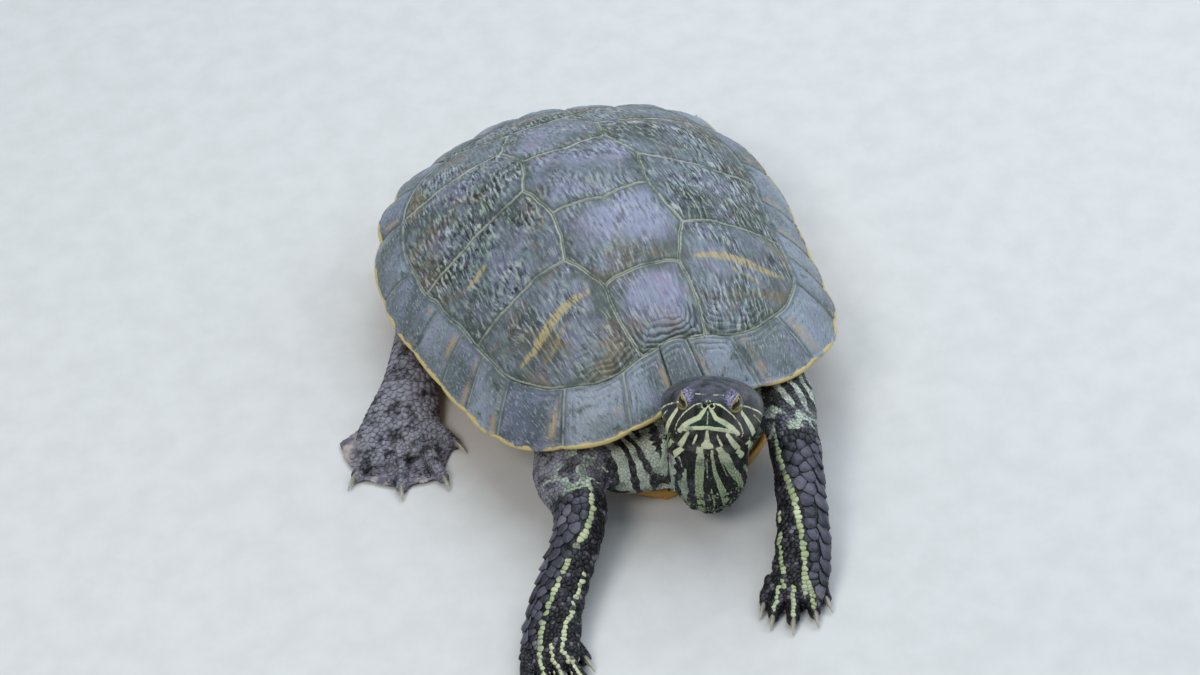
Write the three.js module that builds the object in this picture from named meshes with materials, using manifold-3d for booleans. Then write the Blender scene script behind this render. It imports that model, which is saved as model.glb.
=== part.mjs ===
// A red-eared slider turtle: an old, dark female at life size, lying on her plastron with the
// forelegs reaching forward and the head raised. Millimetres, +Z up, the turtle faces -Y and her
// left side is +X. The origin is the middle of the plastron's flat underside.
import * as THREE from 'three';
import { mergeVertices } from 'three/addons/utils/BufferGeometryUtils.js';
import Module from 'manifold-3d';

const wasm = await Module();
wasm.setup();

// ---------------------------------------------------------------- driving dimensions
const GAP = 0.3;
const TRUNK_GAP = 0.45;
const SEAM = 0.3;
const PLATE = 3.4;
const DOME_TOP = 97.5;
// The dome's section: how its curve bends from front to rear, and how blunt it is.
const DOME_BEND = 1.51;
const DOME_BEND_FRONT = 0.26;
const DOME_BEND_ENDS = -0.026;
const DOME_BLUNT = 0.83;

// The carapace rim, every 20 degrees from the front round to the rear: how far out, and how high.
const RIM_STEP = 20;
const RIM_RADIUS = [116, 126, 122, 105, 98, 102.5, 112, 121.5, 123, 124];
const RIM_HEIGHT = [52, 46, 37, 30.5, 28.5, 29.5, 33.5, 38.5, 39.5, 42];

// Where the marginal scutes meet, in degrees from the front; the first is the nuchal's edge.
const MARGINAL_SEAMS = [3.5, 14.5, 29, 45, 57.5, 70.5, 87, 108, 128, 141.5, 155, 168, 180];
const MARGINAL_WIDTH = 14;
const MARGINAL_FRONT_EXTRA = 8;
const MARGINAL_REAR_EXTRA = 4;
const NUCHAL_HALF = 7;
// The rim is notched where two marginals meet; the rear ones stand out like saw teeth.
const NOTCH_REAR = 2.6;
const NOTCH_FRONT = 1.2;
const NOTCH_SIDE = 0.5;
const FRONT_ENDS = 50;
const REAR_STARTS = 120;
// The section of the rim: how far in its lip starts, and how far its underside drops.
const LIP = 2;
const LIP_DROP = 2.6;
const UNDER_DROP = 4.5;
const INNER_DROP = 7.5;

// Seams of the carapace scutes in plan, on the left side: where each cross seam meets the edge of
// the vertebrals, and where it crosses the midline.
const V12_EDGE = [18, -62.5];
const V12_MIDLINE = -59;
const V23_EDGE = [24, -12.8];
const V23_MIDLINE = -19;
const V34_EDGE = [21, 38.3];
const V34_MIDLINE = 32.5;
const V45_EDGE = [15, 82];
const V45_MIDLINE = 79;
const V1_FRONT_CORNER = [15, -98];
const V5_REAR_CORNER = [47, 103];
const P12_INNER = [28.7, -41];
const P12_OUTER = [80, -42.8];
const P23_INNER = [29, 13];
const P23_OUTER = [88, 9.2];
const P34_INNER = [25, 61.2];
const P34_OUTER = [78, 63];

const EYE_RADIUS = 5;
const CLAW_BASE = 1.5;

// ---------------------------------------------------------------- small helpers
const radians = THREE.MathUtils.degToRad;
const vector = (p) => new THREE.Vector3(p[0], p[1], p[2]);

// A smooth curve through values given every RIM_STEP degrees, the same on both sides of the animal.
function round(values, angle) {
  const last = values.length - 1;
  const place = THREE.MathUtils.euclideanModulo(angle, 2 * Math.PI) / radians(RIM_STEP);
  const at = (i) => values[last - Math.abs(last - Math.abs(i))] ?? values[1];
  const i = Math.floor(place);
  const f = place - i;
  const [a, b, c, d] = [at(i - 1), at(i), at(i + 1), at(i + 2)];
  return b + 0.5 * f * (c - a + f * (2 * a - 5 * b + 4 * c - d + f * (3 * (b - c) + d - a)));
}

function solid(geometry) {
  geometry.deleteAttribute('normal');
  geometry.deleteAttribute('uv');
  const merged = mergeVertices(geometry, 1e-3);
  const index = merged.index.array;
  const triVerts = [];
  for (let i = 0; i < index.length; i += 3) {
    const [a, b, c] = [index[i], index[i + 1], index[i + 2]];
    if (a !== b && b !== c && c !== a) triVerts.push(a, b, c);
  }
  const shape = (corners) => new wasm.Manifold(new wasm.Mesh({
    numProp: 3,
    vertProperties: Float32Array.from(merged.attributes.position.array),
    triVerts: Uint32Array.from(corners),
  }));
  const made = shape(triVerts);
  return made.volume() > 0 ? made : shape(triVerts.reverse());
}

// A closed solid over rings of points; each ring is joined to the next and the ends are capped.
function skinOver(rings) {
  const sides = rings[0].length;
  const points = rings.flat();
  const index = [];
  for (let i = 0; i + 1 < rings.length; i += 1) {
    for (let j = 0; j < sides; j += 1) {
      const a = i * sides + j;
      const b = i * sides + ((j + 1) % sides);
      index.push(a, b, b + sides, a, b + sides, a + sides);
    }
  }
  for (const [ring, turn] of [[0, 1], [rings.length - 1, 0]]) {
    const middle = new THREE.Vector3();
    rings[ring].forEach((p) => middle.addScaledVector(p, 1 / sides));
    points.push(middle);
    for (let j = 0; j < sides; j += 1) {
      const a = ring * sides + j;
      const b = ring * sides + ((j + 1) % sides);
      index.push(...(turn ? [points.length - 1, b, a] : [points.length - 1, a, b]));
    }
  }
  const geometry = new THREE.BufferGeometry().setFromPoints(points);
  return solid(geometry.setIndex(index));
}

// A limb: stations of [x, y, z, half width, half height] along a smooth path. The half width lies
// along `side`, the half height across it; `more` swells every section.
function limb(stations, { side = [1, 0, 0], sides = 12, steps = 2, more = 0 } = {}) {
  const path = new THREE.CatmullRomCurve3(stations.map(vector), false, 'catmullrom', 0.5);
  const size = new THREE.CatmullRomCurve3(
    stations.map((s) => new THREE.Vector3(s[3] + more, s[4] + more, 0)), false, 'catmullrom', 0.5);
  const count = (stations.length - 1) * steps;
  const rings = [];
  for (let i = 0; i <= count; i += 1) {
    const u = i / count;
    const centre = path.getPoint(u);
    const along = path.getTangent(u);
    const across = vector(side).addScaledVector(along, -along.dot(vector(side))).normalize();
    const over = new THREE.Vector3().crossVectors(across, along);
    const half = size.getPoint(u);
    const ring = [];
    for (let j = 0; j < sides; j += 1) {
      const turn = (2 * Math.PI * j) / sides;
      ring.push(centre.clone()
        .addScaledVector(across, half.x * Math.cos(turn))
        .addScaledVector(over, half.y * Math.sin(turn)));
    }
    rings.push(ring);
  }
  return skinOver(rings);
}

// An upright prism over an outline of [x, y] points, drawn in by half a seam.
function prism(outline, inset = SEAM / 2) {
  const turnsLeft = THREE.ShapeUtils.area(outline.map((p) => new THREE.Vector2(...p))) > 0;
  const points = turnsLeft ? outline : [...outline].reverse();
  const drawn = points.map((p, i) => {
    const before = points[(i + points.length - 1) % points.length];
    const after = points[(i + 1) % points.length];
    const a = new THREE.Vector2(p[0] - before[0], p[1] - before[1]).normalize();
    const b = new THREE.Vector2(after[0] - p[0], after[1] - p[1]).normalize();
    const normal = new THREE.Vector2(-a.y - b.y, a.x + b.x);
    return new THREE.Vector2(...p).addScaledVector(normal, inset / (1 + a.dot(b)));
  });
  const height = 2 * DOME_TOP;
  const geometry = new THREE.ExtrudeGeometry(new THREE.Shape(drawn), { depth: height, bevelEnabled: false });
  return solid(geometry.translate(0, 0, -DOME_TOP / 2));
}

const mirrored = (outline) => outline.map(([x, y]) => [-x, y]);
const together = (parts) => parts.reduce((sum, part) => sum.add(part));
const without = (body, ...cutters) => cutters.reduce((left, cutter) => left.subtract(cutter), body);

// A block as large as the animal, whose near face lies at `point` and which reaches along `direction`.
const BLOCK = 600;
function beyond(point, direction) {
  const block = new THREE.BoxGeometry(BLOCK, BLOCK, BLOCK).translate(0, 0, BLOCK / 2);
  const turn = new THREE.Quaternion().setFromUnitVectors(new THREE.Vector3(0, 0, 1), direction);
  return solid(block.applyQuaternion(turn).translate(point.x, point.y, point.z));
}

// Feet, tail and claws end in flats on the floor plane.
const onFloor = (body) => body.intersect(beyond(new THREE.Vector3(), new THREE.Vector3(0, 0, 1)));

// ---------------------------------------------------------------- carapace surfaces
function marginalWidth(angle) {
  const front = ((1 + Math.cos(angle)) / 2) ** 2;
  const rear = ((1 - Math.cos(angle)) / 2) ** 2;
  return MARGINAL_WIDTH + MARGINAL_FRONT_EXTRA * front + MARGINAL_REAR_EXTRA * rear;
}

const seamRadius = (angle) => round(RIM_RADIUS, angle) - marginalWidth(angle);

// Height of the dome at a share of the way out to the rim.
function domeHeight(angle, share) {
  const c = Math.cos(angle);
  const bend = DOME_BEND + DOME_BEND_FRONT * c + DOME_BEND_ENDS * c * c;
  const rim = round(RIM_HEIGHT, angle);
  return rim + (DOME_TOP - rim) * (1 - Math.min(share, 1) ** bend) ** DOME_BLUNT;
}

// The point [radius, height] that lies `depth` under the dome, measured square to it.
function underDome(angle, radius, depth) {
  const rim = round(RIM_RADIUS, angle);
  const step = PLATE / 8;
  const rise = domeHeight(angle, (radius + step) / rim) - domeHeight(angle, Math.max(radius - step, 0) / rim);
  const slope = rise / (radius < step ? radius + step : 2 * step);
  const length = Math.hypot(1, slope);
  return [Math.max(radius + (depth * slope) / length, 0), domeHeight(angle, radius / rim) - depth / length];
}

// The angles of the sweep: both ends and the middle of every marginal scute, on both sides.
const half = MARGINAL_SEAMS.flatMap((s, i) => (i ? [(MARGINAL_SEAMS[i - 1] + s) / 2, s] : [s]));
const ANGLES = [0, ...half, ...half.slice(0, -1).reverse().map((a) => 360 - a)].map(radians);
const FEWER_ANGLES = ANGLES.filter((_, i) => i % 2 === 0);

// How deep the rim is notched at an angle of the sweep.
function notch(angle) {
  const turned = THREE.MathUtils.radToDeg(Math.min(angle, 2 * Math.PI - angle));
  const onSeam = MARGINAL_SEAMS.some((s) => Math.abs(s - turned) < 0.1);
  if (!onSeam) return 0;
  return turned > REAR_STARTS ? NOTCH_REAR : turned < FRONT_ENDS ? NOTCH_FRONT : NOTCH_SIDE;
}

// A closed solid swept round the vertical axis, with a profile of [radius, height] at each angle.
// The profile starts and ends on the axis, or is a loop when `ringShaped`.
function swept(profileAt, angles, ringShaped = false) {
  const rows = angles.map((angle) => profileAt(angle).map(([r, z]) => (
    new THREE.Vector3(r * Math.sin(angle), -r * Math.cos(angle), z))));
  const across = rows[0].length;
  const index = [];
  rows.forEach((row, i) => {
    const next = ((i + 1) % rows.length) * across;
    for (let j = 0; j < (ringShaped ? across : across - 1); j += 1) {
      const k = (j + 1) % across;
      index.push(i * across + j, i * across + k, next + k, i * across + j, next + k, next + j);
    }
  });
  const geometry = new THREE.BufferGeometry().setFromPoints(rows.flat());
  return solid(geometry.setIndex(index));
}

const PLATE_RINGS = [0, 0.25, 0.5, 0.7, 0.87, 1];

// The layer that the vertebral and pleural scutes are cut from.
const plateLayer = swept((angle) => {
  const edge = seamRadius(angle) - SEAM;
  const outer = PLATE_RINGS.map((s) => underDome(angle, s * edge, 0));
  const inner = PLATE_RINGS.map((s) => underDome(angle, s * edge, PLATE));
  inner[inner.length - 1][0] = edge;
  return [...outer, ...inner.reverse()];
}, FEWER_ANGLES);

// The ring of marginal scutes, a solid wedge with a flat underside; `more` swells it.
function marginalRing(more = 0) {
  return swept((angle) => {
    const rim = round(RIM_RADIUS, angle) - notch(angle);
    const full = round(RIM_RADIUS, angle);
    const edge = seamRadius(angle) + SEAM - more;
    const low = round(RIM_HEIGHT, angle);
    return [
      [edge, domeHeight(angle, edge / full) + more],
      [(edge + full) / 2, domeHeight(angle, (edge + full) / 2 / full) + more],
      [rim - LIP + more, domeHeight(angle, (full - LIP) / full) + more],
      [rim + more, low],
      [rim - LIP + more, low - LIP_DROP - more],
      [(edge + full) / 2, low - UNDER_DROP - more],
      [edge, low - INNER_DROP - more],
    ];
  }, ANGLES, true);
}

// ---------------------------------------------------------------- plastron
// Stations from front to rear: [y, half width of the flat, half width at the edge, height of the edge].
const PLASTRON = [
  [-119, 17, 20, 6.5], [-113, 28, 32, 6], [-98, 38, 43, 5.5], [-78, 43, 48, 5.5], [-62, 46, 51, 6.5],
  [-50, 55, 69, 15], [-38, 62, 82, 20.5], [0, 66, 87, 21], [34, 62, 87, 22], [46, 54, 70, 16],
  [56, 45, 50, 6.5], [72, 44, 49, 5.5], [88, 37, 42, 5.5], [100, 26, 31, 5.5], [105, 16, 20, 5.5],
];
const PLASTRON_THICK = 6;
const PLASTRON_WALL = 4.5;
const PLASTRON_BEVEL = 1.5;
// The bridges, which join plastron and carapace, lie outside BRIDGE_SIDE between these two places.
const BRIDGE_SIDE = 56;
const BRIDGE_ENDS = [-58, 54];

function plastron(more = 0) {
  return skinOver(PLASTRON.map(([y, flat, edge, high], i) => {
    const end = i === 0 ? -more : i === PLASTRON.length - 1 ? more : 0;
    const outer = edge + more;
    const inner = edge - PLASTRON_WALL - more;
    const top = high + PLASTRON_BEVEL + more;
    const floor = Math.min(PLASTRON_THICK, high + PLASTRON_BEVEL / 2) + more;
    const left = [
      [flat + more, -more], [outer, high - PLASTRON_BEVEL], [outer - PLASTRON_BEVEL, top], [inner, top],
      [flat - PLASTRON_WALL, floor],
    ];
    const loop = [...left, ...mirrored(left).reverse()];
    return loop.map(([x, z]) => new THREE.Vector3(x, y + end, z));
  }));
}

// ---------------------------------------------------------------- trunk
// How far out the flesh stands between carapace and plastron: it fills the openings at the neck
// and the tail, and draws in behind the limbs.
const FLESH_RADIUS = [113, 113, 98, 78, 74, 74, 80, 95, 102, 104];
const FLESH_UNDER_RIM = 3;
const FLESH_DROP = 8.4;
const FLESH_BOTTOM = 6.6;
// The belly's edge is rounded off: [how far in, how high] from the flesh's side and bottom.
const BELLY_EDGE = [[0, 7.4], [6, 1.4], [22, 0]];

function trunk(more = 0) {
  return swept((angle) => {
    const edge = seamRadius(angle) - GAP + more;
    const low = round(RIM_HEIGHT, angle);
    const underRim = round(RIM_RADIUS, angle) - FLESH_UNDER_RIM;
    const flesh = Math.min(round(FLESH_RADIUS, angle), underRim) + more;
    const cover = PLATE + 2 * GAP - more;
    const top = PLATE_RINGS.map((s) => underDome(angle, s * seamRadius(angle), cover));
    top[top.length - 1][0] = edge;
    const under = low - FLESH_DROP + more;
    const bottom = FLESH_BOTTOM - more;
    const belly = BELLY_EDGE.map(([inward, up]) => [flesh - inward, bottom + up]);
    return [
      ...top, [Math.min(edge, flesh), under], [flesh, under - FLESH_DROP / 2], ...belly, [0, bottom],
    ];
  }, FEWER_ANGLES);
}

// ---------------------------------------------------------------- neck, head and tail
const NECK = [
  [3, -92, 32, 26, 18], [3, -108, 29, 24, 19], [-2, -130, 28, 18.5, 24], [-1, -133, 42, 18.5, 20],
  [3, -134, 53, 18, 15], [5, -132.5, 60, 15, 11.5],
];
const neck = (more = 0) => limb(NECK, { side: [0.95, -0.3, 0], more });
// The loose skin of the chest, from shoulder to shoulder: [x, y, z, half depth, half height].
const CHEST = [
  [-50, -100, 23, 11, 12], [-36, -110, 22, 12.5, 13.5], [-18, -116, 22, 13, 14], [2, -117, 22, 12, 14],
  [20, -111, 22.5, 11.5, 13], [36, -100, 24, 10, 12],
];
const chest = () => limb(CHEST, { side: [0, 1, 0], sides: 8, steps: 1 });

// The head's own frame: the snout's tip, and how the head is turned, raised and rolled.
const SNOUT = [-9, -160, 89];
const HEAD_TURN = -23;
const HEAD_RISE = 42;
const HEAD_ROLL = 6;
// Stations behind the snout: [distance, half width, height of the crown, depth of the jaw].
const HEAD = [
  [-0.5, 2.5, 0.5, 5], [0.3, 5.2, 3.2, 9], [3, 7.6, 4.8, 13], [8, 11.2, 7.6, 16.5], [14, 14, 10, 18.5],
  [21, 17.6, 11.6, 20.5], [29, 20.6, 12.4, 22.5], [37, 22, 12, 23.5], [45, 20, 10, 22], [51, 14, 5, 16],
];
const HEAD_SIDES = 16;
const CROWN_FULLNESS = 0.85;
const CHEEK_FULLNESS = 0.72;
const MOUTH = [[-6, -9.3], [2, -9.7], [8, -10.5], [22, -13.2], [25, -14.8], [30, -40], [-6, -40]];
const EYE_PLACE = [11, 8.2, 1.8];
const JAW_BLOCK = 60;

const headFrame = new THREE.Group();
headFrame.position.set(...SNOUT);
headFrame.rotation.set(radians(-HEAD_RISE), radians(HEAD_ROLL), radians(HEAD_TURN), 'ZXY');
headFrame.updateMatrixWorld(true);
const inHead = (...place) => new THREE.Vector3(...place).applyMatrix4(headFrame.matrixWorld);

function headShape(more = 0) {
  return skinOver(HEAD.map(([back, wide, crown, jaw], i) => {
    const end = i === 0 ? -more : i === HEAD.length - 1 ? more : 0;
    const ring = [];
    for (let j = 0; j < HEAD_SIDES; j += 1) {
      const turn = (2 * Math.PI * j) / HEAD_SIDES;
      const c = Math.cos(turn);
      const s = Math.sin(turn);
      const side = Math.sign(c) * Math.abs(c) ** (s < 0 ? CHEEK_FULLNESS : CROWN_FULLNESS) * (wide + more);
      ring.push(inHead(side, back + end, s * ((s > 0 ? crown : jaw) + more)));
    }
    return ring;
  }));
}

// The lower jaw is what lies under the mouth line, across the whole head.
function jawBlock(drawnIn) {
  const side = new THREE.Shape(MOUTH.map(([back, up]) => new THREE.Vector2(back - drawnIn, up - drawnIn)));
  const geometry = new THREE.ExtrudeGeometry(side, { depth: JAW_BLOCK, bevelEnabled: false });
  geometry.translate(0, 0, -JAW_BLOCK / 2);
  geometry.applyMatrix4(new THREE.Matrix4().makeBasis(
    new THREE.Vector3(0, 1, 0), new THREE.Vector3(0, 0, 1), new THREE.Vector3(1, 0, 0)));
  return solid(geometry.applyMatrix4(headFrame.matrixWorld));
}

function eyeball(sideSign, more = 0) {
  const [back, lateral, up] = EYE_PLACE;
  const ball = new THREE.SphereGeometry(EYE_RADIUS + more, 12, 8);
  const centre = inHead(sideSign * lateral, back, up);
  return solid(ball.translate(centre.x, centre.y, centre.z));
}

const TAIL = [
  [0, 88, 20, 15, 11], [0, 104, 17, 13, 10], [-2, 119, 12, 9.5, 8], [-6, 133, 7, 6.5, 6],
  [-13, 145, 4, 4, 3.6], [-21, 153, 2.2, 1.5, 1.6],
];
const tail = () => limb(TAIL, { side: [1, 0, 0], sides: 9, steps: 1 });

// ---------------------------------------------------------------- legs
// Each leg: `path` runs from the shoulder or hip down to the knuckles, and is parted at the elbow or
// knee, its fourth station. Its toes are [knuckle, tip] pairs, each ending in a claw, and its web is
// an outline on the floor.
const BEND = 3;
const LEGS = {
  foreleg_right: {
    path: [
      [-36, -80, 32, 17, 14], [-51, -95, 29.5, 18, 15], [-60, -109, 25, 16, 13.5],
      [-61, -125, 21.5, 13, 11.5], [-67, -138, 18, 11.8, 9.5], [-78, -152, 13.5, 12, 8.5],
      [-90, -168, 9.5, 13, 7.5], [-97, -181, 6.5, 14, 6], [-100, -191, 4.5, 12.5, 4.4],
    ],
    side: [0.78, -0.6, 0.2],
    toes: [
      [[-88, -183, 5], [-86, -192, 2.6]], [[-94, -189, 5], [-91, -202, 2.6]],
      [[-99, -191, 5], [-98.5, -206, 2.6]], [[-105, -190, 5], [-106.5, -204, 2.6]],
      [[-110, -186, 4.6], [-113.5, -197, 2.6]],
    ],
    toe: 3.4,
    claw: 7.2,
    web: [
      [-86, -180], [-84, -190], [-88.5, -200.5], [-95, -205.5], [-102.5, -206], [-110, -202.5],
      [-115, -195],
      [-113, -182],
    ],
  },
  foreleg_left: {
    path: [
      [36, -84, 33, 15, 14], [42, -100, 33.5, 15, 14], [42, -117, 30, 14, 13], [38, -134, 25.5, 12, 11.5],
      [33, -150, 21, 11.5, 9.5], [27, -166, 16, 11.5, 8.5], [20, -182, 11, 12.5, 7.5], [13, -194, 7, 13, 6],
      [8, -202, 4.8, 12, 4.4],
    ],
    side: [1, 0.4, 0.2],
    toes: [
      [[0, -191, 5], [-5.5, -197.5, 2.6]], [[2, -196, 5], [-4.6, -205, 2.6]],
      [[7.5, -199, 5], [1.8, -211, 2.6]], [[14.5, -200, 5], [11.7, -211.5, 2.6]],
      [[19, -196, 4.6], [19, -206, 2.6]],
    ],
    toe: 3.4,
    claw: 7.2,
    web: [
      [-2, -189], [-6.5, -196], [-6.5, -203.5], [-2, -210], [5.5, -212.5], [12, -211.5], [17, -208.5],
      [21.5, -203],
      [22, -192],
    ],
  },
  hindleg_right: {
    path: [
      [-42, 60, 22, 17, 13], [-60, 50, 20, 17, 13], [-76, 36, 16, 15.5, 11.5], [-87, 21, 12.5, 14, 9.5],
      [-96, 6, 11, 13.5, 9], [-104, -8, 9, 14.5, 8.2], [-112, -22, 6.5, 18.5, 6.5], [-118, -34, 4.6, 21, 4.6],
      [-119, -42, 3.4, 17, 3.2],
    ],
    side: [0.93, 0.36, 0],
    toes: [
      [[-101, -29, 4.6], [-94.5, -43, 2.6]], [[-108.5, -38, 4.8], [-106.3, -61.5, 2.6]],
      [[-119, -38, 4.8], [-125.2, -58.5, 2.6]], [[-130, -33, 4.6], [-142, -43, 2.6]],
    ],
    toe: 3.8,
    claw: 8.2,
    web: [
      [-100, -16], [-92, -32], [-90.5, -45], [-98, -56], [-106.5, -65], [-116, -65], [-127, -62.5],
      [-136, -57], [-145.5, -46.5], [-149, -28], [-148, -14], [-134, -8], [-120, -4],
    ],
  },
  hindleg_left: {
    path: [
      [42, 62, 22, 17, 13], [54, 68, 20, 16, 12.5], [64, 74, 17, 15, 12], [70, 82, 13, 14, 10],
      [73, 91, 10, 13.5, 8.5], [76, 99, 7.5, 15, 6.8], [78, 107, 5.4, 17, 5.4], [79, 114, 4.2, 17, 4.2],
      [79, 119, 3.2, 13, 3],
    ],
    side: [1, -0.2, 0],
    toes: [
      [[65, 110, 4.4], [58, 126, 2.6]], [[73, 115, 4.6], [70, 137, 2.6]], [[82, 115, 4.6], [85, 136, 2.6]],
      [[90, 109, 4.4], [97, 124, 2.6]],
    ],
    toe: 3.6,
    claw: 9,
    web: [
      [62, 98], [57, 112], [55, 126], [63, 131], [70, 138], [78, 135], [86, 137], [92, 130], [100, 123],
      [103, 108], [97, 98],
    ],
  },
};
const WEB_TOP = 2.2;

function webPlate(leg) {
  const outline = new THREE.Shape(leg.web.map((p) => new THREE.Vector2(...p)));
  return solid(new THREE.ExtrudeGeometry(outline, { depth: WEB_TOP, bevelEnabled: false }));
}

// A toe tapers from its knuckle to its tip.
const TOE_FLAT = 0.9;
const TOE_TAPER = [1, 0.95, 0.8];
function toeShape([knuckle, tip], radius) {
  const middle = knuckle.map((k, i) => (k + tip[i]) / 2);
  const stations = [knuckle, middle, tip].map((p, i) => (
    [...p, radius * TOE_TAPER[i], radius * TOE_FLAT * TOE_TAPER[i]]));
  return limb(stations, { sides: 7, steps: 1 });
}

// Stations of a claw as shares of its length: [how far out, how high over the toe's tip, thickness].
const CLAW = [[0.1, 0.5, 1.02], [0.42, 0.5, 0.75], [0.75, -0.4, 0.45], [1, -1.7, 0.12]];
const CLAW_NARROW = 0.85;

// A claw leaves the flat end of the toe, along the toe, and curves down to the floor.
function clawShape([knuckle, tip], length) {
  const along = vector(tip).sub(vector(knuckle)).setZ(0).normalize();
  const stations = CLAW.map(([out, lift, share]) => {
    const p = vector(tip).addScaledVector(along, out * length);
    return [p.x, p.y, p.z + lift, CLAW_NARROW * CLAW_BASE * share, CLAW_BASE * share];
  });
  return limb(stations, { side: [-along.y, along.x, 0], sides: 6, steps: 1 });
}

// ---------------------------------------------------------------- assembly
const colours = {
  scute: [0x3f4541, 0.55], rim: [0x4a4f50, 0.5], plastron: [0xb98f3c, 0.55], skin: [0x3a3c36, 0.6],
  head: [0x2c2b24, 0.35], eye: [0xb79a35, 0.15], claw: [0x8d8368, 0.4],
};
const turtle = new THREE.Group();

function addPart(name, body, look) {
  const mesh = body.getMesh();
  const geometry = new THREE.BufferGeometry();
  geometry.setAttribute('position', new THREE.BufferAttribute(Float32Array.from(mesh.vertProperties), 3));
  geometry.setIndex(new THREE.BufferAttribute(Uint32Array.from(mesh.triVerts), 1));
  geometry.computeVertexNormals();
  const [color, roughness] = colours[look];
  const made = new THREE.Mesh(geometry, new THREE.MeshStandardMaterial({ color, roughness, metalness: 0 }));
  made.name = name;
  turtle.add(made);
}

// Outlines of the plates run out to FAR, past the rim; the sweep itself ends them.
const FAR = 140;
const FRONT_QUARTER = [110, -130];
const REAR_QUARTER = [110, 130];

function addScutes() {
  const outward = ([x, y]) => [(x * FAR) / Math.hypot(x, y), (y * FAR) / Math.hypot(x, y)];
  const both = (leftSide) => [...leftSide, ...mirrored(leftSide.filter(([x]) => x > 0)).reverse()];
  const vertebrals = [
    [outward(V1_FRONT_CORNER), V1_FRONT_CORNER, V12_EDGE, [0, V12_MIDLINE]],
    [[0, V12_MIDLINE], V12_EDGE, P12_INNER, V23_EDGE, [0, V23_MIDLINE]],
    [[0, V23_MIDLINE], V23_EDGE, P23_INNER, V34_EDGE, [0, V34_MIDLINE]],
    [[0, V34_MIDLINE], V34_EDGE, P34_INNER, V45_EDGE, [0, V45_MIDLINE]],
    [[0, V45_MIDLINE], V45_EDGE, V5_REAR_CORNER, outward(V5_REAR_CORNER)],
  ];
  vertebrals.forEach((outline, i) => {
    addPart(`vertebral_${i + 1}`, plateLayer.intersect(prism(both(outline))), 'scute');
  });
  const pleurals = [
    [
      outward(V1_FRONT_CORNER), V1_FRONT_CORNER, V12_EDGE, P12_INNER, P12_OUTER, outward(P12_OUTER),
      FRONT_QUARTER,
    ],
    [outward(P12_OUTER), P12_OUTER, P12_INNER, V23_EDGE, P23_INNER, P23_OUTER, outward(P23_OUTER)],
    [outward(P23_OUTER), P23_OUTER, P23_INNER, V34_EDGE, P34_INNER, P34_OUTER, outward(P34_OUTER)],
    [
      outward(P34_OUTER), P34_OUTER, P34_INNER, V45_EDGE, V5_REAR_CORNER, outward(V5_REAR_CORNER),
      REAR_QUARTER,
    ],
  ];
  pleurals.forEach((outline, i) => {
    addPart(`pleural_left_${i + 1}`, plateLayer.intersect(prism(outline)), 'scute');
    addPart(`pleural_right_${i + 1}`, plateLayer.intersect(prism(mirrored(outline))), 'scute');
  });
}

function addRim() {
  const ring = marginalRing();
  const near = -FAR / 2;
  const nuchal = [[-NUCHAL_HALF, -FAR], [NUCHAL_HALF, -FAR], [NUCHAL_HALF, near], [-NUCHAL_HALF, near]];
  const leftHalf = [[0, -FAR], [FAR, -FAR], [FAR, FAR], [0, FAR]];
  addPart('nuchal', ring.intersect(prism(nuchal)), 'rim');
  for (const [side, outline] of [['left', leftHalf], ['right', mirrored(leftHalf)]]) {
    addPart(`marginals_${side}`, ring.intersect(prism(outline)).subtract(prism(nuchal, -SEAM / 2)), 'rim');
  }
}

const shellFit = [marginalRing(GAP), plastron(GAP)];
const trunkFit = trunk(TRUNK_GAP);

function addBelly() {
  const belly = plastron().subtract(shellFit[0]);
  const [front, rear] = BRIDGE_ENDS;
  const left = [[BRIDGE_SIDE, front], [FAR, front], [FAR, rear], [BRIDGE_SIDE, rear]];
  const outlines = { bridge_left: left, bridge_right: mirrored(left) };
  const cutters = Object.values(outlines).map((outline) => prism(outline, -SEAM / 2));
  addPart('plastron', without(belly, ...cutters), 'plastron');
  for (const [name, outline] of Object.entries(outlines)) {
    addPart(name, belly.intersect(prism(outline)), 'plastron');
  }
}

function addTrunkAndHead() {
  addPart('trunk', without(trunk(), ...shellFit), 'skin');
  const forelegs = [LEGS.foreleg_right, LEGS.foreleg_left];
  const shoulders = forelegs.map(({ path, side }) => limb(path, { side, steps: 1, more: GAP }));
  const neckAndChest = without(together([neck(), chest()]), ...shoulders);
  addPart('neck', without(neckAndChest, trunkFit, ...shellFit, headShape(GAP)), 'skin');
  const eyeSockets = [eyeball(1, GAP), eyeball(-1, GAP)];
  addPart('head', without(headShape(), jawBlock(-GAP / 2), ...eyeSockets), 'head');
  addPart('lower_jaw', headShape().intersect(jawBlock(GAP / 2)), 'head');
  addPart('eye_left', eyeball(1), 'eye');
  addPart('eye_right', eyeball(-1), 'eye');
  addPart('tail', onFloor(without(tail(), trunkFit, ...shellFit)), 'skin');
}

function addLeg(name, leg) {
  const bend = vector(leg.path[BEND]);
  const downLeg = vector(leg.path[BEND + 1]).sub(vector(leg.path[BEND - 1])).normalize();
  const whole = limb(leg.path, { side: leg.side, steps: 1 });
  const claws = leg.toes.map((toe) => clawShape(toe, leg.claw));
  const lower = whole.intersect(beyond(bend.clone().addScaledVector(downLeg, GAP), downLeg));
  const upper = whole.intersect(beyond(bend, downLeg.clone().negate()));
  const foot = together([lower, webPlate(leg), ...leg.toes.map((toe) => toeShape(toe, leg.toe))]);
  addPart(`${name}_upper`, without(upper, trunkFit, ...shellFit), 'skin');
  addPart(`${name}_foot`, onFloor(without(foot, ...shellFit, ...claws)), 'skin');
  claws.forEach((claw, i) => addPart(`${name}_claw_${i + 1}`, onFloor(claw), 'claw'));
}

addScutes();
addRim();
addBelly();
addTrunkAndHead();
Object.entries(LEGS).forEach(([name, leg]) => addLeg(name, leg));

export default turtle;
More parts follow.
